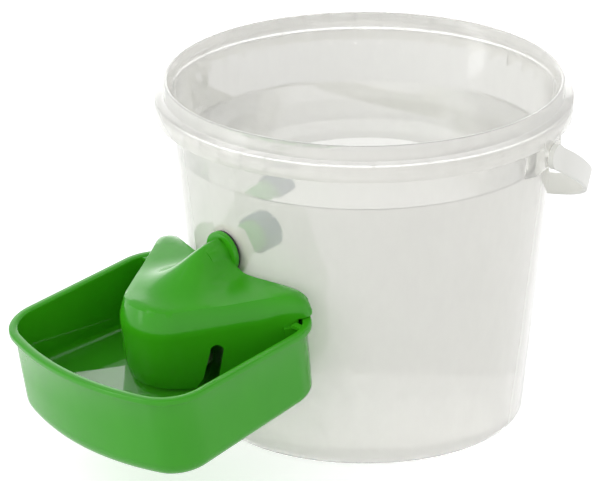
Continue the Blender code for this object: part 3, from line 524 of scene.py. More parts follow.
def clip_mesh(side):
    """A raised pad on the skirt's side wall, under the catch of the bowl."""
    start = hood_side_start()
    along = Vector((math.sin(HOOD_FLARE), math.cos(HOOD_FLARE)))
    out = Vector((math.cos(HOOD_FLARE), -math.sin(HOOD_FLARE)))
    back = start + along * (HOOD_SIDE_BACK - start.y) / along.y
    outline = [(-CLIP_LENGTH, CLIP_BOTTOM), (0.0, CLIP_BOTTOM), (0.0, CLIP_TOP), (-CLIP_LENGTH, CLIP_TOP)]

    def place(u, v, depth):
        point = back + along * u + out * depth
        return (side * point.x, point.y, RIM_LEVEL + v)

    return prism_mesh("clip", outline, -0.0010, CLIP_STAND, place)


def wing_pocket(side):
    """The hollow under a wing's end, open below, with a shell's thickness left all round."""
    middle = (side * WING_CENTRE[0], WING_CENTRE[1])
    outline = arc(middle, WING_RADIUS - SHELL, 0.0, 2.0 * math.pi * 15 / 16, 16)
    place = lambda u, v, z: (u, v, z)
    return prism_mesh("pocket", outline, RIM_LEVEL - 0.002, RIM_LEVEL + 0.0050, place)


# Scene helpers

def add_object(name, mesh, matrix=None):
    made = bpy.data.objects.new(name, mesh)
    bpy.context.scene.collection.objects.link(made)
    if matrix is not None:
        made.matrix_world = matrix
    return made


def cutter(name, mesh, matrix=None):
    made = add_object(name, mesh, matrix)
    made.hide_render = True
    made.display_type = "WIRE"
    return made


def round_edges(target, width, angle=40.0, segments=2):
    """Small moulded radii along the sharp edges."""
    bevel = target.modifiers.new("edge_radius", "BEVEL")
    bevel.width = width
    bevel.segments = segments
    bevel.limit_method = "ANGLE"
    bevel.angle_limit = math.radians(angle)
    bevel.harden_normals = True
    bevel.miter_outer = "MITER_ARC"
    return bevel


def smooth(mesh, angle):
    mesh.shade_smooth()
    mesh.set_sharp_from_angle(angle=math.radians(angle))


def carry_over(node, material, radius=0.0002, angle=40.0):
    """A CAD node that keeps its shape: welded, smooth shaded, small edge radii, its own material."""
    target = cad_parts[node]
    weld = target.modifiers.new("weld", "WELD")
    weld.merge_threshold = 0.00001
    round_edges(target, radius, angle)
    target.data.shade_smooth()
    target.data.materials.clear()
    target.data.materials.append(material)
    return target


def finish_piece(piece, node, body, material):
    piece.data.transform(piece.matrix_world)
    piece.matrix_world = Matrix.Identity(4)
    piece.data.materials.clear()
    piece.data.materials.append(material)
    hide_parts(node)
    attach(piece, body)
    return piece


# Materials

def new_material(name):
    made = bpy.data.materials.new(name)
    made.use_nodes = True
    return made, made.node_tree, made.node_tree.nodes["Principled BSDF"]


def noise(tree, scale, detail=2.0, roughness=0.5, stretch=(1.0, 1.0, 1.0)):
    """A noise texture in object coordinates, in metres."""
    place = tree.nodes.new("ShaderNodeTexCoord")
    mapping = tree.nodes.new("ShaderNodeMapping")
    mapping.inputs["Scale"].default_value = stretch
    texture = tree.nodes.new("ShaderNodeTexNoise")
    texture.inputs["Scale"].default_value = scale
    texture.inputs["Detail"].default_value = detail
    texture.inputs["Roughness"].default_value = roughness
    tree.links.new(place.outputs["Object"], mapping.inputs["Vector"])
    tree.links.new(mapping.outputs["Vector"], texture.inputs["Vector"])
    return texture.outputs["Fac"]


def between(tree, factor, low, high, start=0.0, end=1.0):
    """Maps a factor from start..end to low..high."""
    node = tree.nodes.new("ShaderNodeMapRange")
    node.inputs["From Min"].default_value = start
    node.inputs["From Max"].default_value = end
    node.inputs["To Min"].default_value = low
    node.inputs["To Max"].default_value = high
    tree.links.new(factor, node.inputs["Value"])
    return node.outputs["Result"]


def blend_colour(tree, factor, low, high):
    node = tree.nodes.new("ShaderNodeMix")
    node.data_type = "RGBA"
    tree.links.new(factor, node.inputs["Factor"])
    node.inputs["A"].default_value = (*low, 1.0)
    node.inputs["B"].default_value = (*high, 1.0)
    return node.outputs["Result"]


def bump(tree, height, strength, distance, onto=None):
    node = tree.nodes.new("ShaderNodeBump")
    node.inputs["Strength"].default_value = strength
    node.inputs["Distance"].default_value = distance
    tree.links.new(height, node.inputs["Height"])
    if onto is not None:
        tree.links.new(onto, node.inputs["Normal"])
    return node.outputs["Normal"]


def moulded_plastic(name, light, dark, roughness, peel=0.10, scuff=0.06, shine=0.5):
    """Injection-moulded plastic: faint flow in the colour, orange peel, and duller scuffed patches."""
    made, tree, shader = new_material(name)
    flow = noise(tree, 38.0, 3.0, 0.55, (1.0, 1.0, 0.35))
    tree.links.new(blend_colour(tree, between(tree, flow, 0.0, 1.0, 0.3, 0.7), dark, light),
                   shader.inputs["Base Color"])
    scuffs = noise(tree, 160.0, 6.0, 0.7)
    tree.links.new(between(tree, scuffs, roughness - scuff / 2.0, roughness + scuff, 0.35, 0.75),
                   shader.inputs["Roughness"])
    waves = bump(tree, noise(tree, 230.0, 1.0), peel, 0.0003)
    grain = bump(tree, noise(tree, 2600.0, 2.0), peel * 0.6, 0.00005, waves)
    tree.links.new(grain, shader.inputs["Normal"])
    shader.inputs["IOR"].default_value = 1.49
    shader.inputs["Specular IOR Level"].default_value = shine
    return made


def let_light_in(tree, shader, tint):
    """Lets the light that falls on what lies behind pass straight through, thinned by the tint."""
    path = tree.nodes.new("ShaderNodeLightPath")
    lit = tree.nodes.new("ShaderNodeMath")
    lit.operation = "MAXIMUM"
    tree.links.new(path.outputs["Is Shadow Ray"], lit.inputs[0])
    tree.links.new(path.outputs["Is Diffuse Ray"], lit.inputs[1])
    clear = tree.nodes.new("ShaderNodeBsdfTransparent")
    clear.inputs["Color"].default_value = (*tint, 1.0)
    mix = tree.nodes.new("ShaderNodeMixShader")
    tree.links.new(lit.outputs[0], mix.inputs["Fac"])
    tree.links.new(shader.outputs[0], mix.inputs[1])
    tree.links.new(clear.outputs[0], mix.inputs[2])
    tree.links.new(mix.outputs[0], tree.nodes["Material Output"].inputs["Surface"])


def natural_polypropylene(name):
    """Unpigmented polypropylene: clear with a milky haze, drawn a little in the direction of flow."""
    made, tree, shader = new_material(name)
    flow = noise(tree, 26.0, 4.0, 0.6, (1.0, 1.0, 0.20))
    tree.links.new(blend_colour(tree, between(tree, flow, 0.0, 1.0, 0.3, 0.7),
                                (0.965, 0.958, 0.928), (0.972, 0.966, 0.938)), shader.inputs["Base Color"])
    tree.links.new(between(tree, noise(tree, 120.0, 5.0, 0.65), 0.06, 0.10, 0.3, 0.75),
                   shader.inputs["Roughness"])
    waves = bump(tree, noise(tree, 60.0, 1.0, 0.5, (1.0, 1.0, 0.6)), 0.02, 0.0004)
    grain = bump(tree, noise(tree, 1800.0, 2.0), 0.05, 0.00005, waves)
    tree.links.new(grain, shader.inputs["Normal"])
    tree.links.new(between(tree, noise(tree, 45.0, 4.0, 0.6, (1.0, 1.0, 0.5)), 0.64, 0.67, 0.3, 0.7),
                   shader.inputs["Transmission Weight"])
    shader.inputs["IOR"].default_value = 1.49
    shader.inputs["Specular IOR Level"].default_value = 0.35
    let_light_in(tree, shader, (0.92, 0.92, 0.91))
    return made


def water_material(name, colour):
    made, tree, shader = new_material(name)
    shader.inputs["Base Color"].default_value = (*colour, 1.0)
    shader.inputs["Roughness"].default_value = 0.0
    shader.inputs["IOR"].default_value = 1.333
    shader.inputs["Transmission Weight"].default_value = 1.0
    shader.inputs["Specular IOR Level"].default_value = 0.15
    ripple = bump(tree, noise(tree, 22.0, 1.0), 0.06, 0.0006)
    tree.links.new(ripple, shader.inputs["Normal"])
    let_light_in(tree, shader, (1.0, 1.0, 1.0))
    return made


def rubber(name, light, dark, roughness):
    made, tree, shader = new_material(name)
    mottle = noise(tree, 500.0, 4.0, 0.6)
    tree.links.new(blend_colour(tree, mottle, dark, light), shader.inputs["Base Color"])
    tree.links.new(between(tree, mottle, roughness - 0.08, roughness + 0.08), shader.inputs["Roughness"])
    tree.links.new(bump(tree, noise(tree, 1500.0, 3.0), 0.15, 0.00008), shader.inputs["Normal"])
    return made


def steel(name):
    made, tree, shader = new_material(name)
    shader.inputs["Metallic"].default_value = 1.0
    drawn = noise(tree, 900.0, 3.0, 0.6, (0.05, 1.0, 1.0))
    tree.links.new(blend_colour(tree, drawn, (0.55, 0.55, 0.53), (0.68, 0.68, 0.66)),
                   shader.inputs["Base Color"])
    tree.links.new(between(tree, drawn, 0.18, 0.34), shader.inputs["Roughness"])
    return made


def foam(name):
    made, tree, shader = new_material(name)
    cells = tree.nodes.new("ShaderNodeTexVoronoi")
    place = tree.nodes.new("ShaderNodeTexCoord")
    cells.inputs["Scale"].default_value = 1400.0
    tree.links.new(place.outputs["Object"], cells.inputs["Vector"])
    tree.links.new(blend_colour(tree, cells.outputs["Distance"], (0.60, 0.57, 0.48), (0.78, 0.76, 0.68)),
                   shader.inputs["Base Color"])
    tree.links.new(bump(tree, cells.outputs["Distance"], 0.25, 0.0001), shader.inputs["Normal"])
    shader.inputs["Roughness"].default_value = 0.7
    return made


# Bucket

def build_bucket(material):
    bucket = add_object("pail", turned_mesh("pail", bucket_profile(), FINE_BUCKET_STEPS))
    combine(bucket, cutter("rib_tool", collar_ribs()), "UNION")
    for turn in (BAIL_TURN, BAIL_TURN + math.pi):
        combine(bucket, cutter("ear_tool", ear_mesh(turn)), "UNION")
        tool, place = radial_cylinder("ear_hole", PIN_RADIUS + GAP, PIN_TIP - GAP, 0.1200, turn, PIVOT_HEIGHT, 36)
        combine(bucket, cutter("ear_hole_tool", tool, place), "DIFFERENCE")
    hole = cylinder_mesh("wall_hole", WALL_HOLE, -0.0060, 0.0060, 64)
    combine(bucket, cutter("wall_hole_tool", hole, along_y(WALL_FRAME)), "DIFFERENCE")
    smooth(bucket.data, 50.0)
    return finish_piece(bucket, "bucket", "drinker_body", material)


# Bail

def bail_path():
    """Middle line of the strap in its own plane, X along the hinge axis and Y across it."""
    points = []
    power = 2.0 / BAIL_SQUARENESS
    for i in range(FINE_BAIL_STEPS + 1):
        t = math.pi * i / FINE_BAIL_STEPS
        x = BAIL_HALF_WIDTH * math.copysign(abs(math.cos(t)) ** power, math.cos(t))
        y = BAIL_REACH * max(math.sin(t), 0.0) ** power
        pull = math.exp(-((y / 0.0130) ** 2))
        x -= math.copysign((BAIL_HALF_WIDTH - BAIL_END) * pull, x)
        points.append(Vector((x, y)))
    return points


def strap_mesh():
    """The bail's strap: a flat section with round edges, swept along the path."""
    path = bail_path()
    half_t, radius = STRAP_THICKNESS / 2.0 - STRAP_INSET, 0.0009
    rings = []
    for i, point in enumerate(path):
        widening = math.exp(-((point.y / 0.0300) ** 2))
        half_w = (STRAP_WIDTH + (STRAP_END_WIDTH - STRAP_WIDTH) * widening) / 2.0
        section = []
        for sx, sy, start in ((1, 1, 0.0), (-1, 1, 0.5), (-1, -1, 1.0), (1, -1, 1.5)):
            centre = (sx * (half_t - radius), sy * (half_w - radius))
            section += arc(centre, radius, start * math.pi, (start + 0.5) * math.pi, 5)
        before, after = path[max(i - 1, 0)], path[min(i + 1, len(path) - 1)]
        along = (after - before).normalized()
        out = Vector((along.y, -along.x))
        rings.append([(point.x + out.x * a, point.y + out.y * a, b) for a, b in section])
    return ring_loft("bail", rings)


def build_bail(material):
    bail = add_object("bail", strap_mesh())
    for side in (1.0, -1.0):
        turn = 0.0 if side > 0 else math.pi
        face = BAIL_END - STRAP_THICKNESS / 2.0
        disc, place = radial_cylinder("bail_end", 0.0068, face, face + STRAP_THICKNESS + 0.0004, turn, 0.0, 48)
        combine(bail, cutter("bail_end_tool", disc, place), "UNION")
        pin, place = radial_cylinder("bail_pin", PIN_RADIUS, PIN_TIP, face + 0.0010, turn, 0.0, 36)
        combine(bail, cutter("bail_pin_tool", pin, place), "UNION")
    hang = Matrix.Rotation(BAIL_TURN, 4, "Z") @ Matrix.Rotation(-BAIL_DROOP, 4, "X")
    bail.matrix_world = Matrix.Translation((0.0, 0.0, PIVOT_HEIGHT)) @ hang
    smooth(bail.data, 35.0)
    return finish_piece(bail, "bail_handle", "bail", material)


# Drinking bowl

def bowl_outline():
    """The rim's outer edge as (point, outward direction) pairs, from the back middle clockwise."""
    down = -math.pi / 2.0
    half_back, half_front = BOWL_BACK_WIDTH / 2.0, BOWL_FRONT_WIDTH / 2.0
    flare = math.atan2(half_front - half_back, -BOWL_SIDE_FRONT)
    hollow = (0.0, BACK_MIDDLE + BACK_HOLLOW)
    back_x = half_back - BACK_CORNER
    back_y = hollow[1] - math.sqrt((BACK_HOLLOW + BACK_CORNER) ** 2 - back_x ** 2)
    meet = math.atan2(back_x, hollow[1] - back_y)
    front_radius = (half_front ** 2 + BOWL_FRONT_SAG ** 2) / (2.0 * BOWL_FRONT_SAG)
    front_middle = (0.0, BOWL_SIDE_FRONT - BOWL_FRONT_SAG + front_radius)
    front_x = half_front - FRONT_CORNER - 0.0002
    front_y = front_middle[1] - math.sqrt((front_radius - FRONT_CORNER) ** 2 - front_x ** 2)
    swing = math.atan2(front_x, front_middle[1] - front_y)
    fine = ARC_DETAIL
    right = arc_pairs(hollow, BACK_HOLLOW, down, down + meet, 6 * fine + 1, -1.0)[:-1]
    right += arc_pairs((back_x, back_y), BACK_CORNER, meet - down, flare, 8 * fine + 1)
    right += arc_pairs((front_x, front_y), FRONT_CORNER, flare, down + swing, 8 * fine + 1)
    right += arc_pairs(front_middle, front_radius, down + swing, down, 7 * fine + 1)[1:]
    left = [((-p[0], p[1]), (-n[0], n[1])) for p, n in reversed(right)][1:-1]
    return right + left


def bowl_section():
    """Inset and drop pairs: up over the rim and down its outside, and then up the inside."""
    depth, inner = BOWL_DEPTH, BOWL_DEPTH - BOWL_FLOOR
    lip = arc((0.0010, 0.0010), 0.0010, -math.pi / 2.0, -math.pi, 6)
    outside = [(0.0025, 0.0)] + lip + [(0.0, RIM_DROP - 0.0006)]
    outside += arc((0.0006, RIM_DROP - 0.0006), 0.0006, math.pi, math.pi / 2.0, 4)
    outside += [(0.0023, RIM_DROP), (0.0027, RIM_DROP + 0.0002), (0.0030, RIM_DROP + 0.0008)]
    outside += [(0.0034, 0.5 * depth), (0.0040, depth - 0.0070)]
    outside += arc((0.0111, depth - 0.0070), 0.0070, math.pi, math.pi / 2.0, 9)
    inside = [(0.0125, inner)] + arc((0.0122, inner - 0.0062), 0.0062, math.pi / 2.0, math.pi, 8)
    inside += [(0.0054, 0.5 * depth), (0.0050, 0.0014), (0.0049, 0.0006), (0.0045, 0.0002), (0.0041, 0.0)]
    return outside, inside


def bowl_mesh():
    outline = bowl_outline()
    outside, inside = bowl_section()
    rings = [bowl_ring(outline, inset, drop) for inset, drop in outside + inside]
    count, floor = len(outline), len(outside) - 1
    faces = []
    for level in range(len(rings)):
        if level != floor:
            faces += band(level * count, (level + 1) % len(rings) * count, count)
    faces.append(tuple(range(floor * count, (floor + 1) * count)))
    faces.append(tuple(range((floor + 1) * count, (floor + 2) * count)))
    return tidy(mesh_of("drinking_bowl", [point for ring in rings for point in ring], faces))


def build_bowl(material):
    bowl = add_object("drinking_bowl", bowl_mesh())
    for side in (1.0, -1.0):
        combine(bowl, cutter("catch_tool", catch_mesh(side)), "UNION")
    bowl.matrix_world = BOWL_FRAME
    smooth(bowl.data, 40.0)
    return finish_piece(bowl, "bowl", "drinker_body", material)


# Valve hood

def hood_plan():
    """Dome outline and skirt outline as (point, outward direction) pairs, nose tip to back middle."""
    start = hood_side_start()
    run = (HOOD_SIDE_BACK - start.y) / math.cos(HOOD_FLARE)
    along = Vector((math.sin(HOOD_FLARE), math.cos(HOOD_FLARE)))
    outward = (math.cos(HOOD_FLARE), -math.sin(HOOD_FLARE))
    fine = ARC_DETAIL
    shared = arc_pairs((0.0, NOSE_CENTRE), NOSE_RADIUS, -math.pi / 2.0, -HOOD_FLARE, 7 * fine + 1)
    steps = 8 * fine
    for i in range(1, steps + 1):
        shared.append((tuple(start + along * run * i / steps), outward))
    wing_back = math.pi / 2.0 + math.asin(WING_CENTRE[0] / HOOD_BACK_HOLLOW)
    dome = shared + arc_pairs(WING_CENTRE, WING_RADIUS, -HOOD_FLARE, wing_back, 7 * fine + 1)
    corner_back = math.pi / 2.0 + math.asin(SKIRT_CORNER_CENTRE[0] / SKIRT_BACK_HOLLOW)
    skirt = shared + arc_pairs(SKIRT_CORNER_CENTRE, SKIRT_CORNER, -HOOD_FLARE, corner_back, 7 * fine + 1)
    steps = 7 * fine
    for i in range(1, steps + 1):
        share = 1.0 - i / steps
        x = WING_CENTRE[0] * share
        slope = x / HOOD_BACK_HOLLOW
        dome.append(((x, hollow_back(x, HOOD_BACK, HOOD_BACK_HOLLOW)), (-slope, math.sqrt(1.0 - slope ** 2))))
        x = SKIRT_CORNER_CENTRE[0] * share
        slope = x / SKIRT_BACK_HOLLOW
        skirt.append(((x, hollow_back(x, SKIRT_BACK, SKIRT_BACK_HOLLOW)), (-slope, math.sqrt(1.0 - slope ** 2))))
    return mirrored(dome), mirrored(skirt)


def dome_points(outline, rows_in, spacing):
    """Points inside the outline: rows that follow its edge, and a grid further in."""
    edge = [Vector(p) for p, _ in outline]
    inside = []
    for inset in rows_in:
        for (x, y), (nx, ny) in outline:
            point = Vector((x - nx * inset, y - ny * inset))
            if gap_to_outline(point, edge) > 0.98 * inset:
                inside.append(point)
    widest = max(p.x for p in edge)
    count = int(widest / spacing)
    rows = [min(p.y for p in edge) + spacing * i for i in range(int(0.090 / spacing))]
    for row, y in enumerate(rows):
        for i in range(-count, count + 1):
            point = Vector(((i + 0.5 * (row % 2)) * spacing, y))
            if in_outline(point, edge) and gap_to_outline(point, edge) > rows_in[-1] + 0.5 * spacing:
                inside.append(point)
    return inside


def dome_solid(name, outline, shell, lower_rings, rows_in, spacing):
    """The dome's surface over its outline, closed by walls through the lower rings and a floor."""
    edge = [Vector(p) for p, _ in outline]
    count = len(edge)
    flat = edge + dome_points(outline, rows_in, spacing)
    edges = [(i, (i + 1) % count) for i in range(count)]
    points, _, faces, origins, _, _ = delaunay_2d_cdt(flat, edges, [], 1, 0.0000001)
    first = {}
    for index, sources in enumerate(origins):
        for source in sources:
            first[source] = index
    vertices = [(p.x, p.y, RIM_LEVEL + hood_height(p.x, p.y, shell)) for p in points]
    faces = [tuple(face) for face in faces]
    above = [first[i] for i in range(count)]
    for ring in lower_rings:
        below = [len(vertices) + i for i in range(count)]
        vertices += ring
        for i in range(count):
            j = (i + 1) % count
            faces.append((above[i], above[j], below[j], below[i]))
        above = below
    faces.append(tuple(above))
    return tidy(mesh_of(name, vertices, faces))


def spigot_mesh():
    """Flange and threaded tail, turned about the axis of the hole in the bucket wall."""
    core = THREAD_RADIUS - THREAD_DEPTH
    profile = [(BORE, TAIL_END), (core, TAIL_END)]
    top = TAIL_END - 0.0008
    while top - THREAD_PITCH > THREAD_START:
        profile.append((THREAD_RADIUS, top - 0.2 * THREAD_PITCH))
        profile.append((THREAD_RADIUS, top - 0.4 * THREAD_PITCH))
        profile.append((core, top - 0.7 * THREAD_PITCH))
        top -= THREAD_PITCH
    profile += [(THREAD_RADIUS, THREAD_START), (THREAD_RADIUS, FLANGE_BACK)]
    profile += [(FLANGE_RADIUS, FLANGE_BACK), (FLANGE_RADIUS, FLANGE_FRONT + 0.0005)]
    profile += [(FLANGE_RADIUS - 0.0002, FLANGE_FRONT + 0.0001), (FLANGE_RADIUS - 0.0005, FLANGE_FRONT)]
    return turned_mesh("spigot", profile + [(BORE, FLANGE_FRONT)], 64)


def build_hood(material):
    dome, skirt = hood_plan()
    rings = [level_ring(dome, WING_BOTTOM), level_ring(skirt, WING_BOTTOM), level_ring(skirt, SKIRT_BOTTOM)]
    hood = add_object("hood", dome_solid("hood", dome, 0.0, rings, FINE_ROWS, FINE_SPACING))
    inner = [((x - nx * SHELL, y - ny * SHELL), (nx, ny)) for (x, y), (nx, ny) in skirt[::ARC_DETAIL]]
    rings = [level_ring(inner, SKIRT_BOTTOM - 0.002)]
    inside = dome_solid("hood_inside", inner, SHELL, rings, (0.0015, 0.0040), 0.0055)
    combine(hood, cutter("hood_inside_tool", inside), "DIFFERENCE")
    for side in (1.0, -1.0):
        combine(hood, cutter("slot_tool", slot_mesh(side)), "DIFFERENCE")
        combine(hood, cutter("clip_tool", clip_mesh(side)), "UNION")
        xs = sorted((side * CHEEK_INSIDE, side * (CHEEK_INSIDE + CHEEK_THICKNESS)))
        low = (xs[0], PIVOT_Y - 0.0045, PIVOT_Z - 0.0045)
        high = (xs[1], PIVOT_Y + 0.0045, RIM_LEVEL + 0.0220)
        combine(hood, cutter("cheek_tool", box_mesh("cheek", low, high)), "UNION")
        combine(hood, cutter("pocket_tool", wing_pocket(side)), "DIFFERENCE")
    neck = cylinder_mesh("neck", NECK_RADIUS, NECK_END, FLANGE_FRONT + 0.0015, 64)
    combine(hood, cutter("neck_tool", neck, along_y(Matrix.Identity(4))), "UNION")
    wall_in_bowl = BOWL_FRAME.inverted() @ WALL_FRAME
    combine(hood, cutter("spigot_tool", spigot_mesh(), along_y(wall_in_bowl)), "UNION")
    bore = cylinder_mesh("bore", NOZZLE_RADIUS + GAP, NECK_END - 0.002, FLANGE_FRONT + 0.002)
    at_nozzle = Matrix.Translation((0.0, 0.0, NOZZLE_Z))
    combine(hood, cutter("bore_tool", bore, along_y(at_nozzle)), "DIFFERENCE")
    pin_hole = cylinder_mesh("pin_hole", PIVOT_PIN_RADIUS + 0.0001, -0.012, 0.012, 16)
    across = Matrix.Translation((0.0, PIVOT_Y, PIVOT_Z)) @ Matrix.Rotation(math.pi / 2.0, 4, "Y")
    combine(hood, cutter("pin_hole_tool", pin_hole, across), "DIFFERENCE")
    hood.matrix_world = BOWL_FRAME
    smooth(hood.data, 38.0)
    return finish_piece(hood, "valve_hood", "drinker_body", material)


# Water

def build_bucket_water(material):
    """The water in the bucket, down to the middle of the walls so that no air shows between them."""
    middle = WALL / 2.0
    edge = wall_radius(WATER_LEVEL) - middle
    profile = [(0.0, WATER_LEVEL), (edge - 0.0028, WATER_LEVEL), (edge - 0.0012, WATER_LEVEL + 0.0003)]
    profile += [(edge, WATER_LEVEL + 0.0011), (wall_radius(0.0060) - middle, 0.0060)]
    profile += [(wall_radius(0.0) - 0.0030, FLOOR - 0.0008), (0.0, FLOOR - 0.0008)]
    water = add_object("bucket_water", turned_mesh("bucket_water", profile, FINE_BUCKET_STEPS))
    smooth(water.data, 50.0)
    water.data.materials.append(material)
    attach(water, "drinker_body")
    return water


def bowl_water_section(outline, inset, level):
    """The bowl's inner outline at a world height, as points on the level surface of the water."""
    ring = []
    for (x, y), (nx, ny) in outline:
        point = BOWL_FRAME @ Vector((x - nx * inset, y - ny * inset, RIM_LEVEL))
        down = (BOWL_FRAME.to_3x3() @ Vector((0.0, 0.0, -1.0))).normalized()
        ring.append(point + down * ((level - point.z) / down.z))
    return ring


def build_bowl_water(material):
    """The water that the float lets into the bowl: level in the world, so deeper towards the front."""
    outline = bowl_outline()
    level = (BOWL_FRAME @ Vector((0.0, -0.060, RIM_LEVEL - BOWL_WATER_DROP))).z
    count = len(outline)
    inner = BOWL_DEPTH - BOWL_FLOOR
    below = [(0.0052, 0.5 * BOWL_DEPTH + 0.004), (0.0055, inner - 0.0065), (0.0066, inner - 0.0030)]
    below += [(0.0092, inner - 0.0008), (0.0125, inner - 0.0002)]
    rings = [bowl_water_section(outline, inset, level) for inset in (0.0078, 0.0062)]
    rings.append([p + Vector((0.0, 0.0, 0.0009)) for p in bowl_water_section(outline, 0.0051, level)])
    for inset, drop in below:
        rings.append([BOWL_FRAME @ Vector(p) for p in bowl_ring(outline, inset, drop)])
    points = [tuple(p) for ring in rings for p in ring]
    faces = [tuple(range(count)), tuple(range((len(rings) - 1) * count, len(rings) * count))]
    for i in range(len(rings) - 1):
        faces += band(i * count, (i + 1) * count, count)
    water = add_object("bowl_water", tidy(mesh_of("bowl_water", points, faces)))
    smooth(water.data, 50.0)
    water.data.materials.append(material)
    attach(water, "drinker_body")
    return water


# Light, floor and camera

def build_world():
    world = bpy.data.worlds.new("studio")
    bpy.context.scene.world = world
    world.use_nodes = True
    tree = world.node_tree
    background = tree.nodes["Background"]
    path = tree.nodes.new("ShaderNodeLightPath")
    seen = tree.nodes.new("ShaderNodeMath")
    seen.operation = "MAXIMUM"
    tree.links.new(path.outputs["Is Camera Ray"], seen.inputs[0])
    tree.links.new(path.outputs["Is Transmission Ray"], seen.inputs[1])
    background.inputs["Color"].default_value = (1.0, 1.0, 1.0, 1.0)
    place = tree.nodes.new("ShaderNodeTexCoord")
    split = tree.nodes.new("ShaderNodeSeparateXYZ")
    tree.links.new(place.outputs["Generated"], split.inputs["Vector"])
    light = between(tree, split.outputs["Z"], SIDE_LIGHT, TOP_LIGHT, 0.15, 0.85)
    mix = tree.nodes.new("ShaderNodeMix")
    tree.links.new(seen.outputs[0], mix.inputs["Factor"])
    tree.links.new(light, mix.inputs["A"])
    mix.inputs["B"].default_value = 1.0
    tree.links.new(mix.outputs["Result"], background.inputs["Strength"])


def build_floor():
    builder = bmesh.new()
    bmesh.ops.create_grid(builder, x_segments=2, y_segments=2, size=6.0)
    mesh = bpy.data.meshes.new("floor")
    builder.to_mesh(mesh)
    builder.free()
    floor = add_object("floor", mesh)
    made, tree, shader = new_material("floor_white")
    tree.nodes.remove(shader)
    output = tree.nodes["Material Output"]
    path = tree.nodes.new("ShaderNodeLightPath")
    seen = tree.nodes.new("ShaderNodeMath")
    seen.operation = "MAXIMUM"
    tree.links.new(path.outputs["Is Camera Ray"], seen.inputs[0])
    tree.links.new(path.outputs["Is Glossy Ray"], seen.inputs[1])
    diffuse = tree.nodes.new("ShaderNodeBsdfDiffuse")
    diffuse.inputs["Color"].default_value = (0.80, 0.80, 0.80, 1.0)
    glow = tree.nodes.new("ShaderNodeEmission")
    tree.links.new(between(tree, seen.outputs[0], 0.0, FLOOR_GLOW), glow.inputs["Strength"])
    both = tree.nodes.new("ShaderNodeAddShader")
    tree.links.new(diffuse.outputs[0], both.inputs[0])
    tree.links.new(glow.outputs[0], both.inputs[1])
    white = tree.nodes.new("ShaderNodeEmission")
    white.inputs["Strength"].default_value = FLOOR_THROUGH
    through = tree.nodes.new("ShaderNodeMixShader")
    tree.links.new(path.outputs["Is Transmission Ray"], through.inputs["Fac"])
    tree.links.new(both.outputs[0], through.inputs[1])
    tree.links.new(white.outputs[0], through.inputs[2])
    tree.links.new(through.outputs[0], output.inputs["Surface"])
    floor.data.materials.append(made)


def add_lamp(name, size, power, position, target):
    data = bpy.data.lights.new(name, "AREA")
    data.shape = "RECTANGLE"
    data.size, data.size_y = size
    data.energy = power
    lamp = bpy.data.objects.new(name, data)
    bpy.context.scene.collection.objects.link(lamp)
    lamp.location = position
    aim = Vector(target) - Vector(position)
    lamp.rotation_mode = "QUATERNION"
    lamp.rotation_quaternion = aim.to_track_quat("-Z", "Y")
    lamp.visible_camera = False
    return lamp


def build_camera():
    data = bpy.data.cameras.new("camera")
    data.sensor_width = SENSOR
    data.lens = FOCAL_PIXELS / IMAGE_WIDTH * SENSOR
    camera = bpy.data.objects.new("camera", data)
    bpy.context.scene.collection.objects.link(camera)
    a, e, yaw = CAMERA_AZIMUTH, CAMERA_ELEVATION, CAMERA_YAW
    back = Vector((math.sin(a) * math.cos(e), -math.cos(a) * math.cos(e), math.sin(e)))
    right = Vector((math.cos(a), math.sin(a), 0.0))
    ahead = -back * math.cos(yaw) - right * math.sin(yaw)
    right = right * math.cos(yaw) - back * math.sin(yaw)
    up = right.cross(ahead)
    turn = Matrix((right, up, -ahead)).transposed()
    camera.matrix_world = Matrix.Translation(back * CAMERA_DISTANCE + Vector((0.0, 0.0, CAMERA_AIM))) @ turn.to_4x4()
    data.clip_start, data.clip_end = 0.1, 20.0
    bpy.context.scene.camera = camera


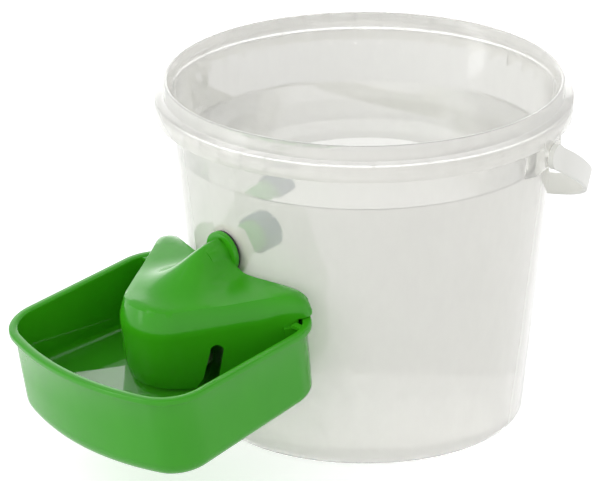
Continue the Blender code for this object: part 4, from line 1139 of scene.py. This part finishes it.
SIDE_LIGHT = 1.17
TOP_LIGHT = 0.56
FLOOR_GLOW = 0.55
FLOOR_THROUGH = 0.84
STRAP_INSET = 0.00004
WALL_FRAME = (Matrix.Translation((0.0, -wall_radius(SPIGOT_HEIGHT), SPIGOT_HEIGHT))
              @ Matrix.Rotation(math.atan(WALL_SLOPE), 4, "X") @ Matrix.Rotation(DRINKER_ROLL, 4, "Y"))
BOWL_FRAME = WALL_FRAME @ Matrix.Rotation(BOWL_TILT, 4, "X")

green = moulded_plastic("green_polypropylene", (0.046, 0.385, 0.008), (0.039, 0.355, 0.006), 0.18, shine=0.36)
white = moulded_plastic("bail_polypropylene", (0.90, 0.90, 0.86), (0.87, 0.87, 0.825), 0.36)
natural = natural_polypropylene("natural_polypropylene")
build_bucket(natural)
build_bail(white)
build_bowl(green)
build_hood(green)
carry_over("outer_gasket", rubber("black_rubber", (0.020, 0.021, 0.020), (0.010, 0.010, 0.010), 0.60))
carry_over("inner_washer", rubber("pale_rubber", (0.76, 0.72, 0.62), (0.68, 0.63, 0.52), 0.55))
carry_over("clamp_nut", moulded_plastic("nylon", (0.80, 0.78, 0.70), (0.75, 0.72, 0.63), 0.34))
carry_over("inlet_strainer", moulded_plastic("slate_polypropylene", (0.018, 0.075, 0.150), (0.012, 0.055, 0.120), 0.38))
acetal = moulded_plastic("acetal", (0.82, 0.82, 0.79), (0.77, 0.77, 0.74), 0.34)
carry_over("valve_nozzle", acetal, 0.0001)
carry_over("float_arm", acetal)
carry_over("valve_seal", rubber("seal_rubber", (0.022, 0.022, 0.022), (0.012, 0.012, 0.012), 0.55))
carry_over("pivot_pin", steel("stainless_steel"), 0.0001)
carry_over("float", foam("float_foam"))
clear_water = water_material("clear_water", (1.0, 1.0, 1.0))
build_bucket_water(clear_water)
build_bowl_water(clear_water)

build_world()
build_floor()
add_lamp("key_light", (1.2, 1.2), 3.5, (-0.66, -1.16, 1.33), (0.0, -0.14, 0.10))
add_lamp("strip_softbox", (0.35, 1.5), 4.0, (-0.70, -1.45, 0.70), (0.0, -0.14, 0.10))
add_lamp("side_softbox", (1.6, 1.2), 7.0, (-1.30, 0.95, 0.55), (0.0, -0.10, 0.10))
build_camera()
bpy.context.scene.view_settings.view_transform = "Standard"
